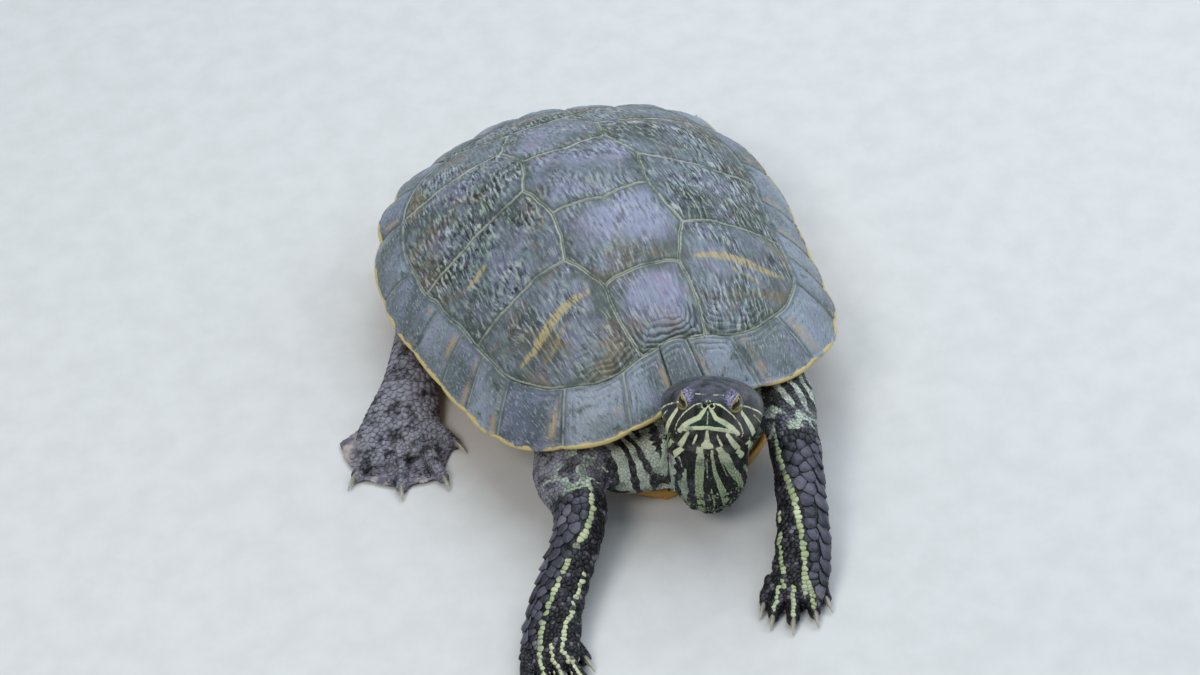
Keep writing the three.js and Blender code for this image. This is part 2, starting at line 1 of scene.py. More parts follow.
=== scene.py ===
"""An old, dark red-eared slider at life size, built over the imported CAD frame.

Lengths are in millimetres until a mesh is made, then metres. The turtle faces -Y, its left is +X.
Shell scutes are closed polar grids with real grooves and growth rings. The flesh is one skin,
meshed from a field of smoothly joined limbs, with solid scales laid over it.
"""

import bmesh
import bpy
import numpy as np
import openvdb
from mathutils import Matrix, Vector
from mathutils.bvhtree import BVHTree
from mathutils.kdtree import KDTree


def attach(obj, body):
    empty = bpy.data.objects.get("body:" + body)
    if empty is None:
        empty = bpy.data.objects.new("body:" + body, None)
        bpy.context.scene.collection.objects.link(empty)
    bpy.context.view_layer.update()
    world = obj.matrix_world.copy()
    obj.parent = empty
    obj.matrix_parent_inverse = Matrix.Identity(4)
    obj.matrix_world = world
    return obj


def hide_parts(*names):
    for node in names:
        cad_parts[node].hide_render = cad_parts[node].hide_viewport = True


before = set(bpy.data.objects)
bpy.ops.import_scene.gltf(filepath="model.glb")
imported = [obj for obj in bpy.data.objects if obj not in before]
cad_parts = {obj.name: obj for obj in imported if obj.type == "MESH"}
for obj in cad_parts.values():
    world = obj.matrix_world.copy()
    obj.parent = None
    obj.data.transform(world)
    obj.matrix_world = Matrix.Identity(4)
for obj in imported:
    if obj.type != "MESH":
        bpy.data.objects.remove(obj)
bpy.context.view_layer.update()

MM = 0.001

# ------------------------------------------------------------------ driving dimensions
PLATE = 3.4
DOME_TOP = 97.5
# The dome falls off with an exponent that depends on the direction, the bend, and a fixed bluntness.
DOME_BEND = (1.51, 0.26, -0.026)
DOME_BLUNT = 0.83
# The rim's radius and height every RIM_STEP from the front round to the rear.
RIM_STEP = np.radians(20)
RIM_RADIUS = (116, 126, 122, 105, 98, 102.5, 112, 121.5, 123, 124)
RIM_HEIGHT = (52, 46, 37, 30.5, 28.5, 29.5, 33.5, 38.5, 39.5, 42)
# Degrees round from the front at which the seams between the marginals lie.
MARGINAL_SEAMS = (3.5, 14.5, 29, 45, 57.5, 70.5, 87, 108, 128, 141.5, 155, 168, 180)
MARGINAL_WIDTH = 14
MARGINAL_FRONT_EXTRA = 8
MARGINAL_REAR_EXTRA = 4
NUCHAL_HALF, NUCHAL_RADIUS = 7, 105
# How far the rim is cut in at the marginals' seams, and the degrees where front ends and rear starts.
NOTCH_REAR = 2.6
NOTCH_FRONT = 1.2
NOTCH_SIDE = 0.5
FRONT_ENDS = 50
REAR_STARTS = 120

# Corners of the plates in plan, on the turtle's left: V for vertebrals, P for pleurals.
V12_EDGE, V12_MIDLINE = (18, -62.5), -59
V23_EDGE, V23_MIDLINE = (24, -12.8), -19
V34_EDGE, V34_MIDLINE = (21, 38.3), 32.5
V45_EDGE, V45_MIDLINE = (15, 82), 79
V1_FRONT_CORNER = (15, -98)
V5_REAR_CORNER = (47, 103)
P12_INNER, P12_OUTER = (28.7, -41), (80, -42.8)
P23_INNER, P23_OUTER = (29, 13), (88, 9.2)
P34_INNER, P34_OUTER = (25, 61.2), (78, 63)

# ------------------------------------------------------------------ noise
def lattice(cell, seed):
    """A fixed pseudo-random number from -1 to 1 for each whole-numbered cell."""
    h = cell.astype(np.int64).astype(np.uint64) & np.uint64(0xFFFFFFFF)
    mixed = h[..., 0] * np.uint64(73856093) ^ h[..., 1] * np.uint64(19349663)
    mixed = mixed ^ h[..., 2] * np.uint64(83492791) ^ np.uint64(seed * 2654435761 % 2**32)
    mixed = (mixed & np.uint64(0xFFFFFFFF)) * np.uint64(2246822519) & np.uint64(0xFFFFFFFF)
    mixed = (mixed ^ mixed >> np.uint64(13)) * np.uint64(3266489917) & np.uint64(0xFFFFFFFF)
    mixed = mixed ^ mixed >> np.uint64(16)
    return mixed.astype(float) / 2**31 - 1


def noise(points, size, seed=0):
    """Smooth noise from -1 to 1 with features about `size` across."""
    p = np.asarray(points, float) / np.asarray(size, float)
    cell = np.floor(p)
    f = p - cell
    f = f * f * (3 - 2 * f)
    total = 0
    for corner in np.ndindex(2, 2, 2):
        c = np.array(corner)
        weight = np.prod(np.where(c == 1, f, 1 - f), axis=-1)
        total = total + weight * lattice(cell + c, seed)
    return total


def rough(points, size, seed=0, octaves=3):
    """Noise with finer noise on top."""
    scale = np.asarray(size, float)
    return sum(noise(points, scale / 2**i, seed + i) / 2**i for i in range(octaves))


def step(low, high, value):
    """0 below `low`, 1 above `high`, and smooth between them."""
    t = np.clip((value - low) / (high - low), 0, 1)
    return t * t * (3 - 2 * t)


def bell(value, width):
    """1 at nought, falling off smoothly over about `width` to both sides."""
    return np.exp(-((value / width) ** 2))


def unit(v):
    """Vectors along the last axis, brought to length one."""
    return v / np.maximum(np.linalg.norm(v, axis=-1, keepdims=True), 1e-9)


# ------------------------------------------------------------------ carapace surfaces
def around(values, angle):
    """A smooth curve through values given every RIM_STEP, the same on both sides of the animal."""
    values = np.array(values, float)
    last = len(values) - 1
    place = np.mod(angle, 2 * np.pi) / RIM_STEP
    i = np.floor(place).astype(int)
    f = place - i
    index = [last - np.abs(last - np.abs(i + k)) for k in (-1, 0, 1, 2)]
    a, b, c, d = (values[np.where(k < 0, 1, k)] for k in index)
    return b + 0.5 * f * (c - a + f * (2 * a - 5 * b + 4 * c - d + f * (3 * (b - c) + d - a)))


def marginal_width(angle):
    """How wide the ring of marginals is in each direction: widest in front."""
    front = ((1 + np.cos(angle)) / 2) ** 2
    rear = ((1 - np.cos(angle)) / 2) ** 2
    return MARGINAL_WIDTH + MARGINAL_FRONT_EXTRA * front + MARGINAL_REAR_EXTRA * rear


def seam_radius(angle):
    """Where the plates end and the marginals begin, before the seam's waves."""
    return around(RIM_RADIUS, angle) - marginal_width(angle)


def dome_height(x, y):
    """The height of the carapace over a point in plan."""
    angle = np.arctan2(x, -y)
    share = np.clip(np.hypot(x, y) / around(RIM_RADIUS, angle), 0, 1)
    c = np.cos(angle)
    bend = DOME_BEND[0] + DOME_BEND[1] * c + DOME_BEND[2] * c * c
    rim = around(RIM_HEIGHT, angle)
    return rim + (DOME_TOP - rim) * (1 - share**bend) ** DOME_BLUNT


def dome_normal(x, y, e=0.4):
    """The carapace's way up over a point in plan."""
    dx = (dome_height(x + e, y) - dome_height(x - e, y)) / (2 * e)
    dy = (dome_height(x, y + e) - dome_height(x, y - e)) / (2 * e)
    return unit(np.stack([-dx, -dy, np.ones_like(dx)], -1))


FLOW_AXIS = -20
FLOW_RADIUS = 115


def flow(p):
    """How far across and along the shell a point is, so that streaks can run from front to rear."""
    across = FLOW_RADIUS * np.arctan2(p[:, 0], p[:, 2] - FLOW_AXIS)
    along = FLOW_RADIUS * np.arctan2(p[:, 1], np.hypot(p[:, 0], p[:, 2] - FLOW_AXIS))
    return np.stack([across, along, np.zeros(len(p))], -1)


# ------------------------------------------------------------------ mesh helpers
def polar(angle, radius):
    """Points in plan at angles from the front, towards the turtle's left."""
    return np.array([radius * np.sin(angle), -radius * np.cos(angle)]).T


def seam(a, b, bow=0.0, wave=0.7, spacing=0.8):
    """A scute seam in plan from a to b, bowed to one side and a little wavy."""
    a, b = np.array(a, float), np.array(b, float)
    count = max(int(np.linalg.norm(b - a) / spacing), 4)
    s = np.linspace(0, 1, count + 1)[:, None]
    line = a + s * (b - a)
    side = np.array([-(b - a)[1], (b - a)[0]]) / np.linalg.norm(b - a)
    key = np.abs(np.column_stack([line, line[:, :1] * 0]))
    return line + side * (4 * s * (1 - s)) * (bow + wave * noise(key, 7)[:, None])


def wavy_seam(angle):
    """The radius at which the plates end and the marginals begin."""
    key = np.abs(np.column_stack([polar(angle, 100.0), angle * 0]))
    return seam_radius(angle) + 0.6 * noise(key, 9)


def rim_seam(a, b, spacing=0.8):
    """The seam between plates and marginals, from angle a to angle b."""
    count = max(int(abs(b - a) * 100 / spacing), 4)
    angle = np.linspace(a, b, count + 1)
    return polar(angle, wavy_seam(angle))


def mirror(line):
    """A line in plan on the turtle's other side, in the same turning sense."""
    return (line * [-1, 1])[::-1]


def joined(*lines):
    """One closed outline from lines that follow each other, without doubled points."""
    return np.vstack([line[:-1] for line in lines])


def to_segments(points, line, closed=False):
    """Distance from each point to a polyline, and how far along it the nearest place is."""
    a = line if closed else line[:-1]
    b = np.roll(line, -1, axis=0) if closed else line[1:]
    d = b - a
    length = np.linalg.norm(d, axis=1)
    start = np.concatenate([[0], np.cumsum(length)[:-1]])
    best = np.full(len(points), np.inf)
    along = np.zeros(len(points))
    for i in range(len(a)):
        t = np.clip(((points - a[i]) @ d[i]) / max(length[i] ** 2, 1e-9), 0, 1)
        gap = np.linalg.norm(points - a[i] - t[:, None] * d[i], axis=1)
        nearer = gap < best
        best = np.where(nearer, gap, best)
        along = np.where(nearer, start[i] + t * length[i], along)
    return best, along


def tube_faces(rows, sides, inward=False, first=0, ends=None):
    """Quads between rings of vertices from `first` on, and fans from the end points to the outer rings.

    The end points follow the rings unless `ends` names them. `inward` turns all faces over.
    """
    j = np.arange(sides)
    k = np.roll(j, -1)
    start = first + sides * np.arange(rows - 1)[:, None]
    quads = np.stack([start + j, start + sides + j, start + sides + k, start + k], -1).reshape(-1, 4)
    last = first + (rows - 1) * sides
    near, far = ends or (last + sides, last + sides + 1)
    fans = np.vstack([np.column_stack([np.full(sides, near), first + j, first + k]),
                      np.column_stack([np.full(sides, far), last + k, last + j])])
    return [quads[:, [0, 3, 2, 1]], fans[:, [0, 2, 1]]] if inward else [quads, fans]


def turned_over(faces):
    """The faces with their corners in the opposite order."""
    return [f[:, ::-1] for f in faces]


def padded(values, count, fill=0.0):
    """Values for a grid of vertices, followed by one value for the `count` points after them."""
    return np.concatenate([np.ravel(values), np.full(count, fill)])


def mesh_piece(name, verts, faces, look, slot, replaces=(), **attributes):
    """A piece from vertices in millimetres, and one array of faces for each number of corners."""
    verts = np.asarray(verts, np.float32) * MM
    groups = [np.asarray(f, np.int32) for f in faces]
    mesh = bpy.data.meshes.new(name)
    mesh.vertices.add(len(verts))
    mesh.vertices.foreach_set("co", verts.ravel())
    loops = np.concatenate([g.ravel() for g in groups])
    sizes = np.concatenate([np.full(len(g), g.shape[1]) for g in groups])
    mesh.loops.add(len(loops))
    mesh.loops.foreach_set("vertex_index", loops)
    mesh.polygons.add(len(sizes))
    mesh.polygons.foreach_set("loop_start", np.concatenate([[0], np.cumsum(sizes)[:-1]]).astype(np.int32))
    mesh.polygons.foreach_set("use_smooth", np.ones(len(sizes), bool))
    mesh.update(calc_edges=True)
    mesh.validate()
    for key, values in attributes.items():
        values = np.asarray(values, np.float32)
        kind, field = ("FLOAT", "value") if values.ndim == 1 else ("FLOAT_VECTOR", "vector")
        mesh.attributes.new(key, kind, "POINT").data.foreach_set(field, values.ravel())
    mesh.materials.append(look)
    piece = bpy.data.objects.new(name, mesh)
    bpy.context.scene.collection.objects.link(piece)
    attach(piece, "root")
    if replaces:
        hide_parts(*replaces)
    return piece


# ------------------------------------------------------------------ materials
class Look:
    """One procedural material, with short calls for the shader nodes it is made of."""

    def __init__(self, name, roughness, specular=0.5, coat=0.0, coat_roughness=0.2):
        self.material = bpy.data.materials.new(name)
        self.material.use_nodes = True
        self.tree = self.material.node_tree
        self.surface = self.tree.nodes["Principled BSDF"]
        self.surface.inputs["Roughness"].default_value = roughness
        self.surface.inputs["Specular IOR Level"].default_value = specular
        self.surface.inputs["Coat Weight"].default_value = coat
        self.surface.inputs["Coat Roughness"].default_value = coat_roughness

    def put(self, socket, value):
        if isinstance(value, bpy.types.NodeSocket):
            self.tree.links.new(value, socket)
        elif isinstance(value, tuple) and len(value) == 3 and socket.type == "RGBA":
            socket.default_value = (*value, 1)
        else:
            socket.default_value = value

    def node(self, kind, out=0, inputs=(), **settings):
        made = self.tree.nodes.new(kind)
        for key, value in settings.items():
            setattr(made, key, value)
        for key, value in dict(inputs).items():
            self.put(made.inputs[key], value)
        return made.outputs[out]

    def attribute(self, name, vector=False):
        return self.node("ShaderNodeAttribute", "Vector" if vector else "Fac", attribute_name=name)

    def place(self):
        return self.node("ShaderNodeTexCoord", "Object")

    def scaled(self, vector, x, y, z):
        return self.node("ShaderNodeVectorMath", 0, {0: vector, 1: (x, y, z)}, operation="MULTIPLY")

    def noise(self, vector, scale, detail=2.0, rough=0.55, out=0):
        return self.node("ShaderNodeTexNoise", out, {
            "Vector": vector, "Scale": scale, "Detail": detail, "Roughness": rough})

    def cells(self, vector, scale):
        return self.node("ShaderNodeTexVoronoi", "Distance", {"Vector": vector, "Scale": scale})

    def math(self, operation, a, b=0.0):
        return self.node("ShaderNodeMath", 0, {0: a, 1: b}, operation=operation)

    def add(self, a, b):
        return self.math("ADD", a, b)

    def swing(self, noise, size):
        """Noise about a half, as a swing to both sides of nought."""
        return self.times(self.math("SUBTRACT", noise, 0.5), size)

    def times(self, *values):
        total = values[0]
        for value in values[1:]:
            total = self.math("MULTIPLY", total, value)
        return total

    def ramp(self, value, low, high, to_low=0.0, to_high=1.0):
        """`value` taken smoothly from the range low..high to to_low..to_high."""
        return self.node("ShaderNodeMapRange", 0, {
            "Value": value, "From Min": low, "From Max": high, "To Min": to_low, "To Max": to_high,
        }, interpolation_type="SMOOTHSTEP")

    def blend(self, share, a, b):
        made = self.tree.nodes.new("ShaderNodeMix")
        made.data_type = "RGBA"
        self.put(made.inputs[0], share)
        self.put(made.inputs[6], a)
        self.put(made.inputs[7], b)
        return made.outputs[2]

    def between(self, value, low, high, a, b):
        """From colour a to colour b as `value` goes from low to high."""
        return self.blend(self.ramp(value, low, high), srgb(*a), srgb(*b))

    def layer(self, under, value, low, high, share, *rgb):
        """`under` with a colour laid over it, by up to `share` as `value` goes from low to high."""
        return self.blend(self.ramp(value, low, high, 0, share), under, srgb(*rgb))

    def bump(self, height, distance, strength=1.0):
        inputs = {"Height": height, "Distance": distance * MM, "Strength": strength}
        return self.node("ShaderNodeBump", 0, inputs)

    def finish(self, color, normal=None, roughness=None):
        self.put(self.surface.inputs["Base Color"], color)
        if normal is not None:
            self.put(self.surface.inputs["Normal"], normal)
        if roughness is not None:
            self.put(self.surface.inputs["Roughness"], roughness)
        return self.material


def srgb(r, g, b):
    """A colour as seen on a screen, 0 to 255, as the linear numbers that a shader takes."""
    return tuple(float(c / 12.92 if c <= 0.04045 else ((c + 0.055) / 1.055) ** 2.4)
                 for c in (r / 255, g / 255, b / 255))


def scute_look(name, violet_sheen):
    """Old carapace horn: grey-green, worn patches whose violet is partly painted sky reflection, dense pale
    and dark streaks, pale seams.
    """
    look = Look(name, 0.45, 0.4, coat=0.08, coat_roughness=0.35)
    place = look.place()
    run = look.attribute("flow", vector=True)
    edge, relief, streaky = (look.attribute(key) for key in ("edge", "relief", "streaky"))
    broad = look.noise(place, 34, 3)
    patch = look.noise(place, 80, 5, 0.65)
    fine = look.noise(place, 900, 3, 0.6)
    brown = look.noise(place, 47, 4, 0.65)
    color = look.between(broad, 0.36, 0.62, (70, 80, 79), (113, 123, 134))
    color = look.layer(color, patch, 0.5, 0.66, 0.6, 124, 119, 144)
    color = look.layer(color, patch, 0.44, 0.32, 0.65, 60, 80, 66)
    color = look.layer(color, brown, 0.53, 0.68, 0.6, 112, 98, 80)
    worn = look.times(look.attribute("smooth"), look.ramp(broad, 0.3, 0.6, 0.35, 1.0))
    # Worn smooth patches are real wear; their pale violet-blue, strongest on the top vertebrals, is partly
    # a painted sky reflection.
    color = look.blend(look.times(worn, violet_sheen), color, srgb(146, 149, 178))
    rosy = look.times(worn, look.ramp(brown, 0.5, 0.36, 0, 0.5))
    color = look.blend(rosy, color, srgb(146, 124, 144))
    warped = look.node("ShaderNodeVectorMath", 0, {0: run, 1: look.scaled(
        look.noise(place, 60, 2, 0.5, out=1), 5, 5, 0)}, operation="ADD")
    streak = look.noise(look.scaled(warped, 0.66, 0.15, 1.0), 1.0, 4, 0.6)
    area = look.ramp(look.noise(place, 52, 3), 0.36, 0.6, 0.3, 1.0)
    strength = look.times(streaky, area)
    pale = look.between(patch, 0.4, 0.6, (150, 166, 144), (186, 194, 190))
    color = look.blend(look.times(look.ramp(streak, 0.53, 0.585), strength, 0.85), color, pale)
    color = look.blend(look.times(look.ramp(streak, 0.48, 0.42), strength, 0.95), color, srgb(24, 28, 26))
    scratch = look.noise(look.scaled(warped, 2.4, 0.3, 1.0), 1.0, 3, 0.7)
    color = look.layer(color, scratch, 0.6, 0.7, 0.5, 172, 182, 180)
    color = look.layer(color, scratch, 0.4, 0.3, 0.45, 48, 54, 56)
    # Painted shade in the hollows of the relief, and a painted highlight on its ridges.
    color = look.layer(color, relief, -0.08, -0.4, 0.7, 34, 42, 38)
    color = look.layer(color, relief, 0.06, 0.3, 0.35, 150, 160, 154)
    bar = look.times(look.attribute("bar"), look.ramp(streak, 0.38, 0.54, 0.2, 0.95))
    color = look.blend(bar, color, srgb(176, 160, 112))
    near_edge = look.add(edge, look.swing(patch, 3.0))
    flank = look.times(look.attribute("flank"), look.ramp(brown, 0.48, 0.64), 0.5)
    color = look.blend(flank, color, srgb(120, 108, 84))
    color = look.layer(color, near_edge, 2.8, 0.9, 0.5, 58, 68, 60)
    ragged = look.add(edge, look.swing(fine, 1.2))
    seam_line = look.times(look.ramp(ragged, 1.0, 0.5), look.ramp(patch, 0.36, 0.52, 0.3, 0.95))
    color = look.blend(seam_line, color, srgb(166, 172, 158))
    normal = look.bump(look.add(streak, look.times(fine, 0.35)), 0.6, 0.7)
    return look.finish(color, normal, look.ramp(fine, 0.3, 0.7, 0.36, 0.6))


# ------------------------------------------------------------------ carapace scutes
def corner_angle(point):
    """The direction of a corner of the plates, as an angle from the front."""
    return np.arctan2(point[0], -point[1])


def at_rim(point):
    """The place on the ring of marginals straight outward from a corner."""
    angle = corner_angle(point)
    return polar(angle, float(seam_radius(angle)))


def scute_outlines():
    """The outlines of the vertebral and left pleural scutes in plan, each closed, from shared seams."""
    flank = [
        seam(V1_FRONT_CORNER, V12_EDGE, -1.5), seam(V12_EDGE, P12_INNER, 0.6),
        seam(P12_INNER, V23_EDGE, 0.8), seam(V23_EDGE, P23_INNER, 0.8), seam(P23_INNER, V34_EDGE, 0.8),
        seam(V34_EDGE, P34_INNER, 0.5), seam(P34_INNER, V45_EDGE, 0.5), seam(V45_EDGE, V5_REAR_CORNER, -1),
    ]
    cross = [
        seam((0, V12_MIDLINE), V12_EDGE, 0.8), seam((0, V23_MIDLINE), V23_EDGE, 0.8),
        seam((0, V34_MIDLINE), V34_EDGE, 0.6), seam((0, V45_MIDLINE), V45_EDGE, 0.4),
    ]
    ribs = [seam(P12_INNER, at_rim(P12_OUTER), 1), seam(P23_INNER, at_rim(P23_OUTER), -1),
            seam(P34_INNER, at_rim(P34_OUTER), -1.5)]
    ends = [corner_angle(p) for p in (V1_FRONT_CORNER, P12_OUTER, P23_OUTER, P34_OUTER, V5_REAR_CORNER)]
    front = seam(at_rim(V1_FRONT_CORNER), V1_FRONT_CORNER, wave=0)
    rear = seam(V5_REAR_CORNER, at_rim(V5_REAR_CORNER), wave=0)
    halves = [
        [rim_seam(0, ends[0]), front, flank[0], cross[0][::-1]],
        [cross[0], flank[1], flank[2], cross[1][::-1]],
        [cross[1], flank[3], flank[4], cross[2][::-1]],
        [cross[2], flank[5], flank[6], cross[3][::-1]],
        [cross[3], flank[7], rear, rim_seam(ends[4], np.pi)],
    ]
    vertebrals = []
    for lines in halves:
        left = np.vstack([line[:-1] for line in lines] + [lines[-1][-1:]])
        vertebrals.append(np.vstack([left[:-1], mirror(left)[:-1]]))
    pleurals = [
        joined(front[::-1][:1], front[::-1], rim_seam(ends[0], ends[1]), ribs[0][::-1], flank[1][::-1],
               flank[0][::-1]),
        joined(ribs[0], rim_seam(ends[1], ends[2]), ribs[1][::-1], flank[3][::-1], flank[2][::-1]),
        joined(ribs[1], rim_seam(ends[2], ends[3]), ribs[2][::-1], flank[5][::-1], flank[4][::-1]),
        joined(ribs[2], rim_seam(ends[3], ends[4]), rear[::-1], flank[7][::-1], flank[6][::-1]),
    ]
    return vertebrals, pleurals


# For each scute: where growth began, ring height, how streaky and how worn smooth it is.
VERTEBRAL_CHARACTER = [
    ((0, -76), 0.05, 0.55, 1.0), ((0, -38), 0.07, 0.55, 0.9), ((0, 12), 0.12, 0.6, 0.8),
    ((0, 58), 0.12, 0.7, 0.7), ((0, 98), 0.16, 0.9, 0.4),
]
PLEURAL_CHARACTER = [
    ((38, -60), 0.16, 0.8, 0.35), ((46, -10), 0.12, 1.0, 0.2), ((44, 42), 0.12, 1.0, 0.2),
    ((42, 82), 0.12, 1.0, 0.2),
]
# Pale bars left on the old plates: lines in plan on the turtle's left, mirrored on its right, half widths.
LONG_BAR = ([(26, -61.5), (34, -61.3), (42, -63), (49, -66), (56, -69.6), (63, -70.5)], 2.1)
FAINT_BAR = ([(39, -68), (45, -72.5), (51, -77.5)], 1.0)
SHORT_BAR = ([(58, -9.5), (63.5, -11), (68, -11.5)], 1.5)
BARRED = {"pleural_left_1": (LONG_BAR, FAINT_BAR), "pleural_right_1": (LONG_BAR, FAINT_BAR),
          "pleural_right_2": (SHORT_BAR,)}
SCUTE_RINGS = 64
SCUTE_GAP = 0.12
GROOVE = 0.7
GROOVE_WIDTH = 0.75
SCUTE_CROWN = 0.55
SCUTE_CROWN_WIDTH = 7
SCUTE_SUNK = 0.3
RING_SPACING = 2.5
# Bars of less than this half width show only faintly.
FAINT_HALF = 1.2


def without_doubles(outline):
    """An outline without the points that lie on the one before them."""
    keep = np.linalg.norm(outline - np.roll(outline, 1, axis=0), axis=1) > 0.05
    return outline[keep]


def scute_relief(base, run, ring_place, edge, ring_height, streaky, seed):
    """How far the horn stands out, in mm: growth rings, wrinkles in front of the shell, fine streaks."""
    wobble = rough(base, 14, seed) * 2.4 + 0.9 * noise(base, 5, seed + 2)
    ring = np.sin(2 * np.pi * (ring_place + wobble) / RING_SPACING)
    fade = step(22, 4, edge) * step(-0.2, 0.5, noise(base, 13, seed + 3))
    wrinkled = step(-70, -90, base[:, 1]) * step(62, 5, np.abs(base[:, 0])) * step(13, 3, edge)
    relief = ring_height * fade * ring + 0.5 * wrinkled * np.minimum(ring, 0.3)
    streaks = rough(run + [0, 0, seed * 7.3], (2.0, 9.0, 1.0), seed + 5, 2)
    return relief + 0.13 * streaky * streaks + 0.14 * rough(base, 5, seed + 9)


def pale_bars(name, plan, run, side, seed):
    """How much of a pale bar each point of a plate carries; `side` is -1 on the turtle's right."""
    share = np.zeros(len(plan))
    ragged = 0.5 * noise(run, (0.8, 3, 1), seed)
    for line, half in BARRED.get(name, ()):
        line = np.array(line, float) * [side, 1]
        gap, along = to_segments(plan, line)
        length = np.linalg.norm(np.diff(line, axis=0), axis=1).sum()
        width = half * (0.35 + 0.65 * np.sin(np.pi * np.clip(along / length, 0, 1)))
        strength = 0.95 if half > FAINT_HALF else 0.5
        share = np.maximum(share, step(1.1, -0.7, gap - width + ragged) * strength)
    return share


def scute(name, outline, character, look, seed):
    """One plate: a polar grid about the place where its growth began, with a plain underside."""
    (cx, cy), ring_height, streaky, smooth = character
    centre = np.array([cx, cy], float)
    outline = without_doubles(outline)
    sides = len(outline)
    reach = np.linalg.norm(outline - centre, axis=1, keepdims=True)
    border = centre + (outline - centre) * (1 - SCUTE_GAP / reach)
    share = np.linspace(0, 1, SCUTE_RINGS + 1)[1:] ** 0.85
    plan = np.vstack([centre, (centre + share[:, None, None] * (border - centre)).reshape(-1, 2)])
    base = np.column_stack([plan, dome_height(*plan.T)])
    run = flow(base)
    edge, _ = to_segments(plan, outline, closed=True)
    out = np.linalg.norm(plan - centre, axis=1)
    inward = np.concatenate([[1], np.repeat(1 - share, sides)])
    ring_place = 0.55 * inward * np.median(reach) - 0.45 * out
    relief = scute_relief(base, run, ring_place, edge, ring_height, streaky, seed)
    seams = SCUTE_CROWN * (1 - bell(edge, SCUTE_CROWN_WIDTH)) - GROOVE * bell(edge, GROOVE_WIDTH)
    lift = seams + relief - 0.35 * step(9, 2, out) - SCUTE_SUNK
    normal = dome_normal(*plan.T)
    under = base[-sides:] - normal[-sides:] * PLATE * 0.8
    verts = np.vstack([base + normal * lift[:, None], under, [[cx, cy, base[0, 2] - PLATE * 2]]])
    faces = tube_faces(SCUTE_RINGS + 1, sides, first=1, ends=(0, len(verts) - 1))
    clockwise = np.cross(outline[0] - centre, outline[1] - centre) < 0
    hidden = sides + 1
    marks = dict(
        edge=edge, bar=pale_bars(name, plan, run, np.sign(cx), seed), streaky=np.full(len(plan), streaky),
        flank=step(70, 96, np.hypot(*plan.T)),
        smooth=smooth * step(2, 8, edge) * step(-0.5, 0.3, noise(base, 16, seed + 1)))
    mesh_piece(name, verts, turned_over(faces) if clockwise else faces, look, "carapace_horn", [name],
               relief=padded(relief, hidden, -0.3), flow=np.vstack([run, np.repeat(run[:1], hidden, 0)]),
               **{key: padded(values, hidden) for key, values in marks.items()})


def build_scutes():
    """The plates inside the rim; right pleurals have the outlines of the left ones, mirrored."""
    vertebrals, pleurals = scute_outlines()
    plain = scute_look("vertebral_horn", 0.75)
    streaked = scute_look("pleural_horn", 0.3)
    for i, (outline, character) in enumerate(zip(vertebrals, VERTEBRAL_CHARACTER)):
        scute(f"vertebral_{i + 1}", outline, character, plain, 10 + i)
    for i, (outline, character) in enumerate(zip(pleurals, PLEURAL_CHARACTER)):
        (x, y), *rest = character
        scute(f"pleural_left_{i + 1}", outline, character, streaked, 20 + i)
        scute(f"pleural_right_{i + 1}", mirror(outline), ((-x, y), *rest), streaked, 30 + i)


# ------------------------------------------------------------------ marginals
LIP_ROUND = 1.3
INNER_DROP = 7.5
# The rim's sections stand this far apart at this radius.
RIM_SPACING, RIM_MEAN_RADIUS = 0.8, 108
RIM_GROOVE, RIM_GROOVE_WIDTH = 0.6, 0.7
RIM_CROWN, RIM_CROWN_WIDTH = 0.45, 5
RIM_RING_SPACING = 2.3
# Where the tan bar of a marginal lies, as a share of the way through it, and how wide it is.
TAN_BAR_AT, TAN_BAR_WIDTH = 0.14, 0.06
RIM_GAP = 0.05
TONGUE = 1.2
SEAM_ANGLES = np.radians(MARGINAL_SEAMS)
# How much paler (up to 1) or darker (down to -1) the horn of each marginal is, from the front, on the
# turtle's left (1) and right (-1).
MARGINAL_SHADES = {1: (0.4, 0.2, 0.5, -0.3, 0.4, -0.2, 0.3, -0.4, 0.2, -0.2, 0.3, 0),
                   -1: (0.1, 0.4, -0.8, 0.2, -0.4, 0.4, -0.3, 0.1, -0.5, 0.3, -0.2, 0.1)}


def marginal_place(angle):
    """For each angle: the share of the way through its marginal, and which marginal it is."""
    turned = np.abs(np.mod(angle + np.pi, 2 * np.pi) - np.pi)
    which = np.clip(np.searchsorted(SEAM_ANGLES, turned, side="right") - 1, 0, len(SEAM_ANGLES) - 2)
    start, end = SEAM_ANGLES[which], SEAM_ANGLES[which + 1]
    share = np.clip((turned - start) / (end - start), 0, 1)
    return np.where(turned < SEAM_ANGLES[0], 0.5, share), which


def notch(angle):
    """How far the rim is cut in between marginals, and in the forked middle of the rear ones."""
    share, _ = marginal_place(angle)
    turned = np.degrees(np.abs(np.mod(angle + np.pi, 2 * np.pi) - np.pi))
    depth = NOTCH_SIDE + (NOTCH_FRONT - NOTCH_SIDE) * step(FRONT_ENDS + 6, FRONT_ENDS - 6, turned)
    depth = depth + (NOTCH_REAR - NOTCH_SIDE) * step(REAR_STARTS - 6, REAR_STARTS + 6, turned)
    fork = 0.3 * depth * bell(share - 0.56, 0.07) * step(REAR_STARTS, 150, turned)
    return depth * np.abs(2 * share - 1) ** 1.8 + fork


